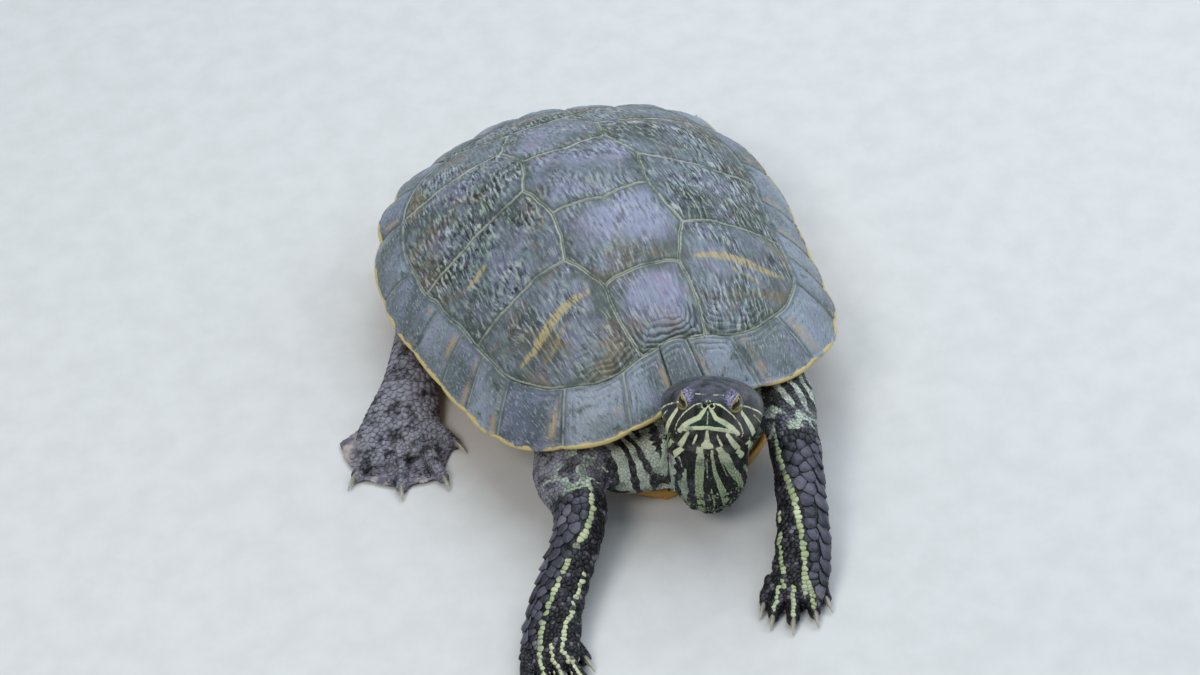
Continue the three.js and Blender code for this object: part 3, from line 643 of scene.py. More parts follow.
def rim_profile(angle):
    """The section of the rim at one angle, a closed loop over the top, the lip, below and inside.

    Each row is [radius, height, distance from the plates, share of the underside, distance from the rim].
    """
    full = float(around(RIM_RADIUS, angle))
    rim = full - float(notch(angle))
    edge = float(wavy_seam(np.array([angle]))[0]) + RIM_GAP
    low = float(around(RIM_HEIGHT, angle))
    top_r = np.linspace(edge, rim - LIP_ROUND, 30)
    share = (top_r - edge) / (rim - edge)
    grown = top_r * (1 + (full / rim - 1) * share)
    lifted = dome_height(grown * np.sin(angle), -grown * np.cos(angle))
    top_z = lifted + 0.5 * np.sin(np.pi * share) - 0.25
    turn = np.linspace(np.pi / 2, -np.pi / 2, 9)[1:]
    lip_r = rim - LIP_ROUND + LIP_ROUND * np.cos(turn)
    lip_z = top_z[-1] - LIP_ROUND + LIP_ROUND * np.sin(turn)
    under_r = np.linspace(rim - LIP_ROUND, edge, 14)[1:]
    under_share = (under_r - edge) / (rim - LIP_ROUND - edge)
    inner_low = low - INNER_DROP
    under_z = inner_low + (lip_z[-1] - inner_low) * under_share**1.3
    wall_z = np.linspace(inner_low, top_z[0] - 0.35, 5)[1:]
    radius = np.concatenate([top_r, lip_r, under_r, np.full(4, edge - TONGUE)])
    height = np.concatenate([top_z, lip_z, under_z, wall_z])
    on_top = np.concatenate([share, np.ones(len(turn) + len(under_r)), [1, 1, 0, 0]])
    under = np.concatenate([np.zeros(len(top_r)), np.linspace(0, 1, len(turn)), np.ones(len(under_r)),
                            [1, 1, 0.5, 0]])
    return np.column_stack([radius, height, on_top * (rim - edge), under, rim - radius])


def to_marginal_seam(angle, radius):
    """Distance round the rim to the nearest seam between marginals."""
    turned = np.clip(angle, SEAM_ANGLES[0], None)
    gap = np.min(np.abs(turned[..., None] - SEAM_ANGLES), -1) * radius
    return np.where(angle < SEAM_ANGLES[0], (SEAM_ANGLES[0] - angle) * radius, gap)


def rim_relief(grid, angle, edge, below, rimward, seed):
    """How far the marginals' horn stands out, in mm: growth rings, strongest in front, and roughness."""
    wobble = 1.5 * rough(grid, 12, seed)
    ring = np.sin(2 * np.pi * (np.minimum(edge, rimward * 1.6) + wobble) / RIM_RING_SPACING)
    fade = step(14, 2, edge) * np.where(below, 0.25, 1.0) * step(0, 3, rimward)
    front = step(np.radians(60), np.radians(10), angle)
    return (0.1 + 0.14 * front) * fade * ring + 0.1 * rough(grid, 5, seed + 2)


def rim_normals(grid, sign):
    """Outward normals of the rim's grid; at the plates' edge the columns share those of the third."""
    across = np.roll(grid, -1, 1) - np.roll(grid, 1, 1)
    normal = np.cross(across, np.gradient(grid, axis=0)) * sign
    for column in (0, 1, -1):
        normal[:, column] = normal[:, 2]
    return unit(normal)


def rim_piece(name, start, end, sign, look, seed):
    """The marginals of one side, or the nuchal: a swept solid with grooves between its scutes."""
    angles = np.linspace(start, end, int((end - start) * RIM_MEAN_RADIUS / RIM_SPACING) + 1)
    sections = np.stack([rim_profile(a) for a in angles])
    radius, height, inward, under, rimward = np.moveaxis(sections, -1, 0)
    rows, sides = radius.shape
    angle = np.repeat(angles[:, None], sides, 1)
    grid = np.stack([radius * np.sin(angle) * sign, -radius * np.cos(angle), height], -1)
    share, which = marginal_place(angle)
    below = under > 0.5
    edge = np.minimum(to_marginal_seam(angle, radius), np.where(below, 9.0, inward))
    relief = rim_relief(grid, angle, edge, below, rimward, seed)
    seams = RIM_CROWN * (1 - bell(edge, RIM_CROWN_WIDTH)) - RIM_GROOVE * bell(edge, RIM_GROOVE_WIDTH)
    lift = (seams + relief - 0.2) * np.where(below, 0.7, 1.0) * np.where(rimward < 0.5, 0.5, 1.0)
    body = (grid + rim_normals(grid, sign) * lift[..., None]).reshape(-1, 3)
    verts = np.vstack([body, body[:sides].mean(0), body[-sides:].mean(0)])
    faces = tube_faces(rows, sides)
    marked = name != "nuchal"
    worn = step(-0.6, 0.3, noise(grid, 9, seed + 4))
    bar = bell(share - TAN_BAR_AT, TAN_BAR_WIDTH) * worn * step(1.0, 4.0, inward)
    run = flow(grid.reshape(-1, 3))
    marks = dict(edge=edge, relief=relief, under=under, rimward=rimward, bar=bar * marked,
                 shade=np.array(MARGINAL_SHADES[sign])[which] * marked)
    mesh_piece(name, verts, turned_over(faces) if sign > 0 else faces, look, "marginal_horn", [name],
               flow=np.vstack([run, run[:2]]), **{key: padded(values, 2) for key, values in marks.items()})


def marginal_look():
    """Rim horn: bluish slate above with tan bars, a cream edge, and yellow with dark spots below."""
    look = Look("marginal_horn", 0.42, 0.45, coat=0.12, coat_roughness=0.3)
    place = look.place()
    run = look.attribute("flow", vector=True)
    edge, relief, rimward, shade = (look.attribute(key) for key in ("edge", "relief", "rimward", "shade"))
    broad = look.noise(place, 45, 3)
    patch = look.noise(place, 110, 4, 0.6)
    fine = look.noise(place, 900, 3, 0.6)
    color = look.between(broad, 0.36, 0.62, (88, 99, 102), (132, 143, 158))
    color = look.layer(color, shade, 0, 1, 0.5, 146, 154, 160)
    color = look.layer(color, shade, 0, -1, 0.75, 62, 72, 90)
    color = look.layer(color, patch, 0.5, 0.68, 0.5, 130, 126, 152)
    color = look.layer(color, patch, 0.42, 0.3, 0.8, 56, 72, 62)
    streak = look.noise(look.scaled(run, 1.0, 0.4, 1.0), 1.0, 4, 0.62)
    color = look.layer(color, streak, 0.54, 0.66, 0.7, 164, 172, 166)
    color = look.layer(color, streak, 0.44, 0.34, 0.7, 46, 54, 54)
    # Painted shade in the hollows of the relief, and a painted highlight on its ridges.
    color = look.layer(color, relief, -0.06, -0.26, 0.6, 40, 50, 48)
    color = look.layer(color, relief, 0.05, 0.2, 0.3, 150, 160, 156)
    tan = look.times(look.attribute("bar"), look.ramp(patch, 0.4, 0.56, 0.1, 0.75))
    color = look.blend(tan, color, srgb(172, 148, 108))
    edge = look.add(edge, look.swing(fine, 0.6))
    color = look.layer(color, edge, 2.2, 0.7, 0.5, 58, 68, 62)
    seam_line = look.times(look.ramp(edge, 0.6, 0.3, 0, 0.7), look.ramp(patch, 0.4, 0.55))
    color = look.blend(seam_line, color, srgb(154, 164, 150))
    ragged = look.add(rimward, look.swing(patch, 5.5))
    color = look.layer(color, ragged, 1.15, 0.4, 0.9, 205, 183, 114)
    spots = look.ramp(look.noise(place, 80, 2), 0.5, 0.6, 0, 0.85)
    yellow = look.between(broad, 0.35, 0.65, (206, 162, 58), (190, 124, 44))
    yellow = look.blend(spots, yellow, srgb(58, 46, 30))
    yellow = look.layer(yellow, edge, 0.8, 0.3, 0.6, 84, 62, 30)
    color = look.blend(look.ramp(look.attribute("under"), 0.45, 0.75), color, yellow)
    normal = look.bump(look.add(streak, look.times(fine, 0.4)), 0.4, 0.5)
    return look.finish(color, normal, look.ramp(fine, 0.3, 0.7, 0.34, 0.55))


def build_rim():
    """The marginals of both sides and the nuchal, a hair's breadth apart."""
    look = marginal_look()
    start = np.arcsin(NUCHAL_HALF / NUCHAL_RADIUS) + 0.001
    rim_piece("marginals_left", start, np.pi - 0.0012, 1, look, 50)
    rim_piece("marginals_right", start, np.pi - 0.0012, -1, look, 60)
    rim_piece("nuchal", -start + 0.0016, start - 0.0016, 1, look, 70)


# ------------------------------------------------------------------ plastron
# Stations from front to rear: [y, half width of the flat, half width at the edge, height of the edge].
PLASTRON = (
    (-119, 17, 20, 6.5), (-113, 28, 32, 6), (-98, 38, 43, 5.5), (-78, 43, 48, 5.5), (-62, 46, 51, 6.5),
    (-50, 55, 69, 15), (-38, 62, 82, 20.5), (0, 66, 87, 21), (34, 62, 87, 22), (46, 54, 70, 16),
    (56, 45, 50, 6.5), (72, 44, 49, 5.5), (88, 37, 42, 5.5), (100, 26, 31, 5.5), (105, 16, 20, 5.5),
)
PLASTRON_WALL = 4.5
PLASTRON_THICK = 6
PLASTRON_BEVEL = 1.5
PLASTRON_SEAMS = (-97, -70, -38, 30, 76)
PLASTRON_GROOVE, PLASTRON_GROOVE_WIDTH = 0.45, 0.7
PLASTRON_ROWS = 170
PLASTRON_NODES = [n for n in ("plastron", "bridge_left", "bridge_right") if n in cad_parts]


def plastron_look():
    """Belly horn: worn yellow to orange, a dark blotch in each scute, dark lines in the seams."""
    look = Look("plastron_horn", 0.45, 0.4, coat=0.1, coat_roughness=0.35)
    place = look.place()
    broad = look.noise(place, 30, 3)
    fine = look.noise(place, 500, 3, 0.6)
    edge = look.attribute("edge")
    color = look.between(broad, 0.36, 0.64, (204, 162, 70), (190, 128, 46))
    color = look.layer(color, fine, 0.5, 0.75, 0.4, 150, 104, 44)
    blotch = look.add(look.attribute("blotch"), look.swing(broad, 1.6))
    color = look.layer(color, blotch, 0.45, 0.6, 0.8, 66, 52, 34)
    color = look.layer(color, blotch, 0.78, 0.9, 0.6, 150, 112, 56)
    color = look.layer(color, edge, 1.1, 0.35, 0.75, 80, 60, 34)
    return look.finish(color, look.bump(fine, 0.2, 0.4), look.ramp(fine, 0.3, 0.7, 0.38, 0.58))


def plastron_section(y, flat, wide, high):
    """The section at one station, a closed loop: flat bottom, side, lip, inner wall and inner floor."""
    low = high - PLASTRON_BEVEL
    bottom = np.column_stack([np.linspace(0, flat, 46), np.zeros(46)])
    s = np.linspace(0, 1, 16)[1:]
    side = np.column_stack([flat + (wide - flat) * s, low * s**1.25])
    turn_by = np.linspace(0, np.pi, 7)[1:]
    lip_middle = wide - PLASTRON_WALL / 2
    lip = np.column_stack([lip_middle + PLASTRON_WALL / 2 * np.cos(turn_by), low + 2 * np.sin(turn_by)])
    floor = min(PLASTRON_THICK, high + PLASTRON_BEVEL / 2) - 0.5
    corner = (flat - PLASTRON_WALL, floor)
    wall = np.linspace((wide - PLASTRON_WALL, low), corner, 6)[1:]
    across = np.linspace(corner, (0, floor), 6)[1:]
    left = np.vstack([bottom, side, lip, wall, across])
    loop = np.vstack([left, (left * [-1, 1])[1:-1][::-1]])
    return np.insert(loop, 1, y, axis=1)


def plastron_grid():
    """The plastron's sections, evenly spaced, with the stations' sizes smoothed between them."""
    table = np.array(PLASTRON, float)
    ys = np.linspace(table[0, 0], table[-1, 0], PLASTRON_ROWS)
    sizes = [np.interp(ys, table[:, 0], column) for column in table.T[1:]]
    sizes = [np.convolve(np.pad(size, 3, mode="edge"), np.ones(7) / 7, "valid") for size in sizes]
    return np.stack([plastron_section(*row) for row in zip(ys, *sizes)])


def plastron_marks(grid):
    """For each point: distance to the nearest seam, share of a dark blotch, and 1 on the bottom."""
    x, y, z = np.moveaxis(grid, -1, 0)
    on_bottom = step(2.0, 0.0, z)
    wavy = y + 1.6 * noise(np.stack([np.abs(x), y, x * 0], -1), 14, 3) - 0.0022 * x * x * np.sign(y + 20)
    to_cross = np.min(np.abs(wavy[..., None] - PLASTRON_SEAMS), -1)
    to_middle = np.abs(x + 0.7 * noise(np.stack([y, y * 0, y * 0], -1), 12, 4))
    ends = (PLASTRON[0][0], *PLASTRON_SEAMS, PLASTRON[-1][0])
    blotch = 0
    for front, rear in zip(ends[:-1], ends[1:]):
        middle, half = (front + rear) / 2, (rear - front) / 2
        gap = np.hypot((np.abs(x) - 22) / 15, (wavy - middle) / (half * 0.62))
        blotch = np.maximum(blotch, step(1.25, 0.35, gap) * on_bottom)
    return np.minimum(to_cross, to_middle), blotch, on_bottom


def build_plastron():
    """Plastron and bridges as one swept solid, with grooves between its scutes."""
    grid = plastron_grid()
    rows, sides = grid.shape[:2]
    edge, blotch, on_bottom = plastron_marks(grid)
    rings = 0.12 * on_bottom * np.exp(-(np.sin(edge / 1.6) ** 2) * 6) * step(14, 4, edge)
    grid[..., 2] += PLASTRON_GROOVE * bell(edge, PLASTRON_GROOVE_WIDTH) * on_bottom + rings
    body = grid.reshape(-1, 3)
    verts = np.vstack([body, body[:sides].mean(0), body[-sides:].mean(0)])
    mesh_piece("plastron", verts, tube_faces(rows, sides, inward=True), plastron_look(), "plastron_horn",
               PLASTRON_NODES, edge=padded(edge, 2, 9.0), blotch=padded(blotch, 2))


# ------------------------------------------------------------------ limbs, neck and tail
# How far the flesh of legs and trunk lies inside the sizes given for it, to leave room for scales.
COAT = 0.7
# Stations of the neck and tail: [x, y, z, half width, half height]. The legs' paths are the same.
NECK = (
    (3, -92, 32, 26, 18), (3, -108, 29, 24, 19), (-2, -130, 28, 18.5, 24), (-1, -133, 42, 18.5, 20),
    (3, -134, 53, 18, 15), (5, -132.5, 60, 15, 11.5),
)
NECK_SIDE = (0.95, -0.3, 0)
# The loose skin of the chest, from shoulder to shoulder: [x, y, z, half depth, half height].
CHEST = (
    (-50, -100, 23, 11, 12), (-36, -110, 22, 12.5, 13.5), (-18, -116, 22, 13, 14), (2, -117, 22, 12, 14),
    (20, -111, 22.5, 11.5, 13), (36, -100, 24, 10, 12),
)
TAIL = (
    (0, 88, 20, 15, 11), (0, 104, 17, 13, 10), (-2, 119, 12, 9.5, 8), (-6, 133, 7, 6.5, 6),
    (-13, 145, 4, 4, 3.6), (-21, 153, 2.2, 1.5, 1.6),
)
# For each leg: its path, the way its width points, each toe's knuckle and tip, the toes' size, the
# claws' length, and the outline in plan of the web that lies on the floor.
LEGS = {
    "foreleg_right": dict(
        path=((-36, -80, 32, 17, 14), (-51, -95, 29.5, 18, 15), (-60, -109, 25, 16, 13.5),
              (-61, -125, 21.5, 13, 11.5), (-67, -138, 18, 11.8, 9.5), (-78, -152, 13.5, 12, 8.5),
              (-90, -168, 9.5, 13, 7.5), (-97, -181, 6.5, 14, 6), (-100, -191, 4.5, 12.5, 4.4)),
        side=(0.78, -0.6, 0.2),
        toes=(((-88, -183, 5), (-86, -192, 2.6)), ((-94, -189, 5), (-91, -202, 2.6)),
              ((-99, -191, 5), (-98.5, -206, 2.6)), ((-105, -190, 5), (-106.5, -204, 2.6)),
              ((-110, -186, 4.6), (-113.5, -197, 2.6))),
        toe=3.4, claw=7.2,
        web=((-86, -180), (-84, -190), (-88.5, -200.5), (-95, -205.5), (-102.5, -206), (-110, -202.5),
             (-115, -195), (-113, -182))),
    "foreleg_left": dict(
        path=((36, -84, 33, 15, 14), (42, -100, 33.5, 15, 14), (42, -117, 30, 14, 13),
              (38, -134, 25.5, 12, 11.5), (33, -150, 21, 11.5, 9.5), (27, -166, 16, 11.5, 8.5),
              (20, -182, 11, 12.5, 7.5), (13, -194, 7, 13, 6), (8, -202, 4.8, 12, 4.4)),
        side=(1, 0.4, 0.2),
        toes=(((0, -191, 5), (-5.5, -197.5, 2.6)), ((2, -196, 5), (-4.6, -205, 2.6)),
              ((7.5, -199, 5), (1.8, -211, 2.6)), ((14.5, -200, 5), (11.7, -211.5, 2.6)),
              ((19, -196, 4.6), (19, -206, 2.6))),
        toe=3.4, claw=7.2,
        web=((-2, -189), (-6.5, -196), (-6.5, -203.5), (-2, -210), (5.5, -212.5), (12, -211.5),
             (17, -208.5), (21.5, -203), (22, -192))),
    "hindleg_right": dict(
        path=((-42, 60, 22, 17, 13), (-60, 50, 20, 17, 13), (-76, 36, 16, 15.5, 11.5),
              (-87, 21, 12.5, 14, 9.5), (-96, 6, 11, 13.5, 9), (-104, -8, 9, 14.5, 8.2),
              (-112, -22, 6.5, 18.5, 6.5), (-118, -34, 4.6, 21, 4.6), (-119, -42, 3.4, 17, 3.2)),
        side=(0.93, 0.36, 0),
        toes=(((-101, -29, 4.6), (-94.5, -43, 2.6)), ((-108.5, -38, 4.8), (-106.3, -61.5, 2.6)),
              ((-119, -38, 4.8), (-125.2, -58.5, 2.6)), ((-130, -33, 4.6), (-142, -43, 2.6))),
        toe=3.8, claw=8.2,
        web=((-100, -16), (-92, -32), (-90.5, -45), (-98, -56), (-106.5, -65), (-116, -65), (-127, -62.5),
             (-136, -57), (-145.5, -46.5), (-149, -28), (-148, -14), (-134, -8), (-120, -4))),
    "hindleg_left": dict(
        path=((42, 62, 22, 17, 13), (54, 68, 20, 16, 12.5), (64, 74, 17, 15, 12), (70, 82, 13, 14, 10),
              (73, 91, 10, 13.5, 8.5), (76, 99, 7.5, 15, 6.8), (78, 107, 5.4, 17, 5.4),
              (79, 114, 4.2, 17, 4.2), (79, 119, 3.2, 13, 3)),
        side=(1, -0.2, 0),
        toes=(((65, 110, 4.4), (58, 126, 2.6)), ((73, 115, 4.6), (70, 137, 2.6)),
              ((82, 115, 4.6), (85, 136, 2.6)), ((90, 109, 4.4), (97, 124, 2.6))),
        toe=3.6, claw=9,
        web=((62, 98), (57, 112), (55, 126), (63, 131), (70, 138), (78, 135), (86, 137), (92, 130),
             (100, 123), (103, 108), (97, 98))),
}


def spline(stations, steps):
    """A Catmull-Rom curve through the stations, sampled `steps` times a span."""
    p = np.array(stations, float)
    q = np.vstack([2 * p[0] - p[1], p, 2 * p[-1] - p[-2]])
    out = []
    for i in range(1, len(q) - 2):
        a, b, c, d = q[i - 1:i + 3]
        for t in np.arange(steps) / steps:
            out.append(b + 0.5 * t * (c - a + t * (2 * a - 5 * b + 4 * c - d + t * (3 * (b - c) + d - a))))
    return np.array(out + [q[-2]])


class Limb:
    """A limb of oval section along a smooth path; stations are [x, y, z, half width, half height]."""

    def __init__(self, stations, side, steps=5, less=COAT, cap=0.9):
        curve = spline(stations, steps)
        self.centre = curve[:, :3]
        self.half = np.maximum(curve[:, 3:5] - less, 0.5)
        run = np.diff(self.centre, axis=0)
        self.length = np.linalg.norm(run, axis=1)
        self.arc = np.concatenate([[0], np.cumsum(self.length)])
        self.along = run / self.length[:, None]
        side = np.array(side, float)
        self.across = unit(side - self.along * (self.along @ side)[:, None])
        self.over = np.cross(self.across, self.along)
        self.cap = cap
        reach = self.half.max() + 8
        self.low, self.high = self.centre.min(0) - reach, self.centre.max(0) + reach

    def nearest(self, p):
        """For each point: the nearest piece of the path, and how far along that piece it lies."""
        start, along = self.centre[:-1], self.along
        which, share = np.empty(len(p), int), np.empty(len(p))
        for first in range(0, len(p), 100000):
            q = p[first:first + 100000]
            run = q @ along.T - (start * along).sum(1)
            go = np.clip(run, 0, self.length)
            gap = (start**2).sum(1) - 2 * q @ start.T + go * (go - 2 * run)
            best = gap.argmin(1)
            which[first:first + len(q)] = best
            share[first:first + len(q)] = go[np.arange(len(q)), best] / self.length[best]
        return which, share

    def local(self, p):
        """For each point: arc length, and offsets across, over and past the ends, with half sizes."""
        i, t = self.nearest(p)
        rel = p - self.centre[i] - (t * self.length[i])[:, None] * self.along[i]
        half = self.half[i] + t[:, None] * (self.half[i + 1] - self.half[i])
        a = (rel * self.across[i]).sum(1)
        b = (rel * self.over[i]).sum(1)
        c = (rel * self.along[i]).sum(1)
        return self.arc[i] + t * self.length[i], a, b, c, half

    def field(self, p):
        """Distance from the limb's surface, about right near it and negative inside."""
        _, a, b, c, half = self.local(p)
        ha, hb = half[:, 0], half[:, 1]
        hc = np.minimum(ha, hb) * self.cap
        k0 = np.sqrt((a / ha) ** 2 + (b / hb) ** 2 + (c / hc) ** 2)
        k1 = np.sqrt((a / ha**2) ** 2 + (b / hb**2) ** 2 + (c / hc**2) ** 2)
        return k0 * (k0 - 1) / np.maximum(k1, 1e-6)

    def angle(self, p):
        """Degrees round the limb from the `across` side, and arc length along it."""
        arc, a, b, _, half = self.local(p)
        return np.degrees(np.arctan2(b / half[:, 1], a / half[:, 0])), arc


# ------------------------------------------------------------------ head
SNOUT = np.array((-9.0, -160.0, 89.0))
HEAD_TURN, HEAD_RISE, HEAD_ROLL = -23, 42, 6
HEAD = (
    (-0.5, 2.5, 0.5, 5), (0.3, 5.2, 3.2, 9), (3, 7.6, 4.8, 13), (8, 11.2, 7.6, 16.5), (14, 14, 10, 18.5),
    (21, 17.6, 11.6, 20.5), (29, 20.6, 12.4, 22.5), (37, 22, 12, 23.5), (45, 20, 10, 22), (51, 14, 5, 16),
)
CROWN_FULLNESS, CHEEK_FULLNESS = 0.98, 0.74
MOUTH = ((-6, -9.3), (2, -9.5), (8, -10.2), (15, -11.6), (22, -13.6), (26, -15.6))
MOUTH_CORNER = 23
EYE = np.array((8.2, 11.0, 1.8))
EYE_RADIUS = 5.0
NOSTRIL = np.array((1.45, -0.5, 0.7))


def turn(degrees, axis):
    """A turn about one axis as a matrix."""
    return np.array(Matrix.Rotation(np.radians(degrees), 3, axis))


HEAD_AXES = turn(HEAD_TURN, "Z") @ turn(-HEAD_RISE, "X") @ turn(HEAD_ROLL, "Y")
# The eye looks out along GAZE; its lids open along SLIT, and up is across both.
GAZE = unit(np.array((0.88, -0.40, 0.17)))
SLIT = np.array((0.0, -0.89, -0.45))
SLIT = unit(SLIT - GAZE * (SLIT @ GAZE))
LID_UP = np.cross(GAZE, SLIT)
LID_UP = LID_UP * np.sign(LID_UP[2])
SLIT_HALF = np.radians(58)
LIDS_OPEN = np.radians(25)


def in_head(p):
    """World points as [lateral, back, up] in the head's own frame."""
    return (p - SNOUT) @ HEAD_AXES


def from_head(q):
    """Points of the head's frame in the world."""
    return np.asarray(q) @ HEAD_AXES.T + SNOUT


def mirrored(q):
    """Points of the head's frame, all on the turtle's left."""
    return np.column_stack([np.abs(q[:, 0]), q[:, 1:]])


def mouth_line(q):
    """The height of the closed mouth as far back as each point."""
    return np.interp(q[:, 1], *np.array(MOUTH).T)


HEAD_CURVE = spline(HEAD, 8)


def head_field(p):
    """Distance from the head: rounded sections, flatter over the crown than over the cheeks."""
    lateral, back, up = in_head(p).T
    wide, crown_and_sheen, jaw = (np.interp(back, HEAD_CURVE[:, 0], HEAD_CURVE[:, i]) for i in (1, 2, 3))
    high = np.where(up > 0, crown_and_sheen, jaw)
    power = 2 / np.where(up > 0, CROWN_FULLNESS, CHEEK_FULLNESS)
    k = np.sqrt((np.abs(lateral) / wide) ** power + (up / high) ** 2)
    inside = np.hypot(lateral, up) * (1 - 1 / np.maximum(k, 0.05))
    past = np.maximum(HEAD[0][0] - back, back - HEAD[-1][0])
    return np.where(past > 0, np.hypot(np.maximum(inside, 0), past), np.maximum(inside, past))


def eye_local(q):
    """Distance from the eye's centre, and angles along and across the slit, on the nearer side."""
    rel = mirrored(q) - EYE
    way = unit(rel)
    along = np.arctan2(way @ SLIT, way @ GAZE)
    across = np.arcsin(np.clip(way @ LID_UP, -1, 1))
    return np.linalg.norm(rel, axis=1), along, across


def lid_edge(q):
    """Distance in mm from the lids' edge, negative where they are open, and from the eye's centre."""
    far, along, across = eye_local(q)
    limit = LIDS_OPEN * np.sqrt(np.clip(1 - (along / SLIT_HALF) ** 2, 0, 1))
    past = np.maximum(np.abs(along) - SLIT_HALF, 0)
    return EYE_RADIUS * np.where(past > 0, np.hypot(past, across), np.abs(across) - limit), far


def smooth_min(a, b, k):
    """The lesser of two distances, joined by a fillet of about size k."""
    h = np.clip(0.5 + 0.5 * (b - a) / k, 0, 1)
    return b + (a - b) * h - k * h * (1 - h)


def smooth_max(a, b, k):
    """The greater of two distances, with the edge rounded by about size k."""
    return -smooth_min(-a, -b, k)


def face_field(p, d):
    """The head's lids, eye openings, nostrils and mouth, cut into or added to the distance `d`."""
    q = in_head(p)
    near = (q[:, 1] < 30) & (q[:, 1] > -8) & (np.abs(q[:, 0]) < 24) & (q[:, 2] > -22) & (q[:, 2] < 16)
    q, out = q[near], d[near]
    edge, far = lid_edge(q)
    out = smooth_min(out, far - (EYE_RADIUS + 0.75), 1.6)
    bead = np.hypot(edge, far - (EYE_RADIUS + 0.35)) - 0.5
    out = smooth_min(out, bead, 0.5)
    pit = np.maximum(edge, (EYE_RADIUS - 0.9) - far)
    out = smooth_max(out, -pit, 0.25)
    rel = np.column_stack([np.abs(q[:, 0]) - NOSTRIL[0], q[:, 2] - NOSTRIL[2]])
    ring = np.hypot(rel[:, 0] / 1.15, rel[:, 1])
    ahead = q[:, 1] < 2.5
    out = np.where(ahead, smooth_max(out, 0.62 - ring - 0.12 * (q[:, 1] + 0.5), 0.3), out)
    gap = q[:, 2] - mouth_line(q)
    fade = step(MOUTH_CORNER + 2.5, MOUTH_CORNER - 3, q[:, 1])
    out = out + 0.75 * fade * bell(gap, 0.42)
    out = out + 0.4 * fade * step(0.2, -0.5, gap) * step(-7, -1.5, gap)
    result = d.copy()
    result[near] = out
    return result


# ------------------------------------------------------------------ one field for all the flesh
FLESH_RADIUS = (113, 113, 98, 78, 74, 74, 80, 95, 102, 104)
FLESH_DROP = 8.4
BELLY = 7.4
TRUNK_FRONT_ENDS, TRUNK_REAR_STARTS = -40, 56


def trunk_field(p, front):
    """The flesh that fills the openings of the shell at the neck or at the tail."""
    x, y, z = p.T
    angle = np.arctan2(x, -y)
    radius = np.hypot(x, y)
    low = around(RIM_HEIGHT, angle)
    flesh = np.minimum(around(FLESH_RADIUS, angle), around(RIM_RADIUS, angle) - 3.5) - COAT
    middle = (BELLY + low - FLESH_DROP) / 2
    reach = flesh - 7 * np.abs((z - middle) / (low - FLESH_DROP - middle)) ** 3
    d = smooth_max(radius - reach, BELLY - z, 5)
    d = smooth_max(d, z - (low - FLESH_DROP), 4)
    inner = y - TRUNK_FRONT_ENDS if front else TRUNK_REAR_STARTS - y
    return smooth_max(d, inner, 8)


def web_field(p, outline):
    """Distance from a thin web lying on the floor inside an outline, thicker away from its edge."""
    outline = np.array(outline, float)
    gap, _ = to_segments(p[:, :2], outline, closed=True)
    a, b = outline, np.roll(outline, -1, axis=0)
    inside = np.zeros(len(p), bool)
    for (ax, ay), (bx, by) in zip(a, b):
        crossing = (ay > p[:, 1]) != (by > p[:, 1])
        place = (bx - ax) * (p[:, 1] - ay) / (by - ay if by != ay else 1) + ax
        inside ^= crossing & (p[:, 0] < place)
    flat = np.where(inside, -gap, gap) + 0.6
    thick = 0.62 + 0.35 * step(1, 9, -flat)
    return smooth_max(flat, np.abs(p[:, 2] - thick) - thick, 0.6)


neck = Limb(NECK, NECK_SIDE, less=0.2)
chest = Limb(CHEST, (0, 1, 0), less=0.5)
tail = Limb(TAIL, (1, 0, 0), less=0.5)
spine = Limb(((0, -78, 24, 12, 12), (0, 0, 24, 12, 12), (0, 78, 24, 12, 12)), (1, 0, 0))
legs = {name: Limb(leg["path"], leg["side"]) for name, leg in LEGS.items()}
# Half width and half height of a toe at its stations, as shares of the leg's `toe` size.
TOE_SECTIONS = np.array(((0.9, 0.75), (0.98, 0.92), (0.9, 0.88), (0.82, 0.78)))


def toe_limb(knuckle, tip, size):
    """One toe, from inside the foot over its knuckle to its tip."""
    knuckle, tip = np.array(knuckle, float), np.array(tip, float)
    back = knuckle - (tip - knuckle) * 0.35 + (0, 0, 0.6)
    stops = [back, knuckle, (knuckle + tip) / 2 + (0, 0, 0.7), tip]
    stations = np.hstack([stops, size * TOE_SECTIONS])
    return Limb(stations, np.cross(tip - knuckle, (0, 0, 1)), 3, 0.35)


toes = {(name, number): toe_limb(*ends, leg["toe"])
        for name, leg in LEGS.items() for number, ends in enumerate(leg["toes"])}

# Each part of the flesh: the box it is worked out in, its field, and the fillet that joins it on.
BIG = np.array((400.0, 400.0, 400.0))
PARTS = [
    (-BIG, np.array((400, TRUNK_FRONT_ENDS + 16, 400)), lambda p: trunk_field(p, True), 1.0),
    (np.array((-400, TRUNK_REAR_STARTS - 16, -400)), BIG, lambda p: trunk_field(p, False), 1.0),
    (spine.low, spine.high, spine.field, 5.0),
    (neck.low, neck.high, neck.field, 6.0),
    (chest.low, chest.high, chest.field, 6.0),
    (SNOUT - 30, SNOUT + (70, 75, 22), head_field, 4.5),
    (tail.low, tail.high, tail.field, 5.0),
]
PARTS += [(limb.low, limb.high, limb.field, 5.0) for limb in legs.values()]
for leg in LEGS.values():
    low = np.append(np.min(leg["web"], 0) - 4.0, -5)
    high = np.append(np.max(leg["web"], 0) + 4.0, 9)
    PARTS.append((low, high, lambda p, web=leg["web"]: web_field(p, web), 1.2))
PARTS += [(limb.low, limb.high, limb.field, 1.3) for limb in toes.values()]


def flesh_field(p):
    """Distance from the surface of all the flesh, which stands on the floor."""
    d = np.full(len(p), 30.0)
    for low, high, field, k in PARTS:
        near = np.all((p > low) & (p < high), axis=1)
        if near.any():
            d[near] = smooth_min(d[near], field(p[near]), k)
    d = face_field(p, d)
    return smooth_max(d, -p[:, 2], 0.5)


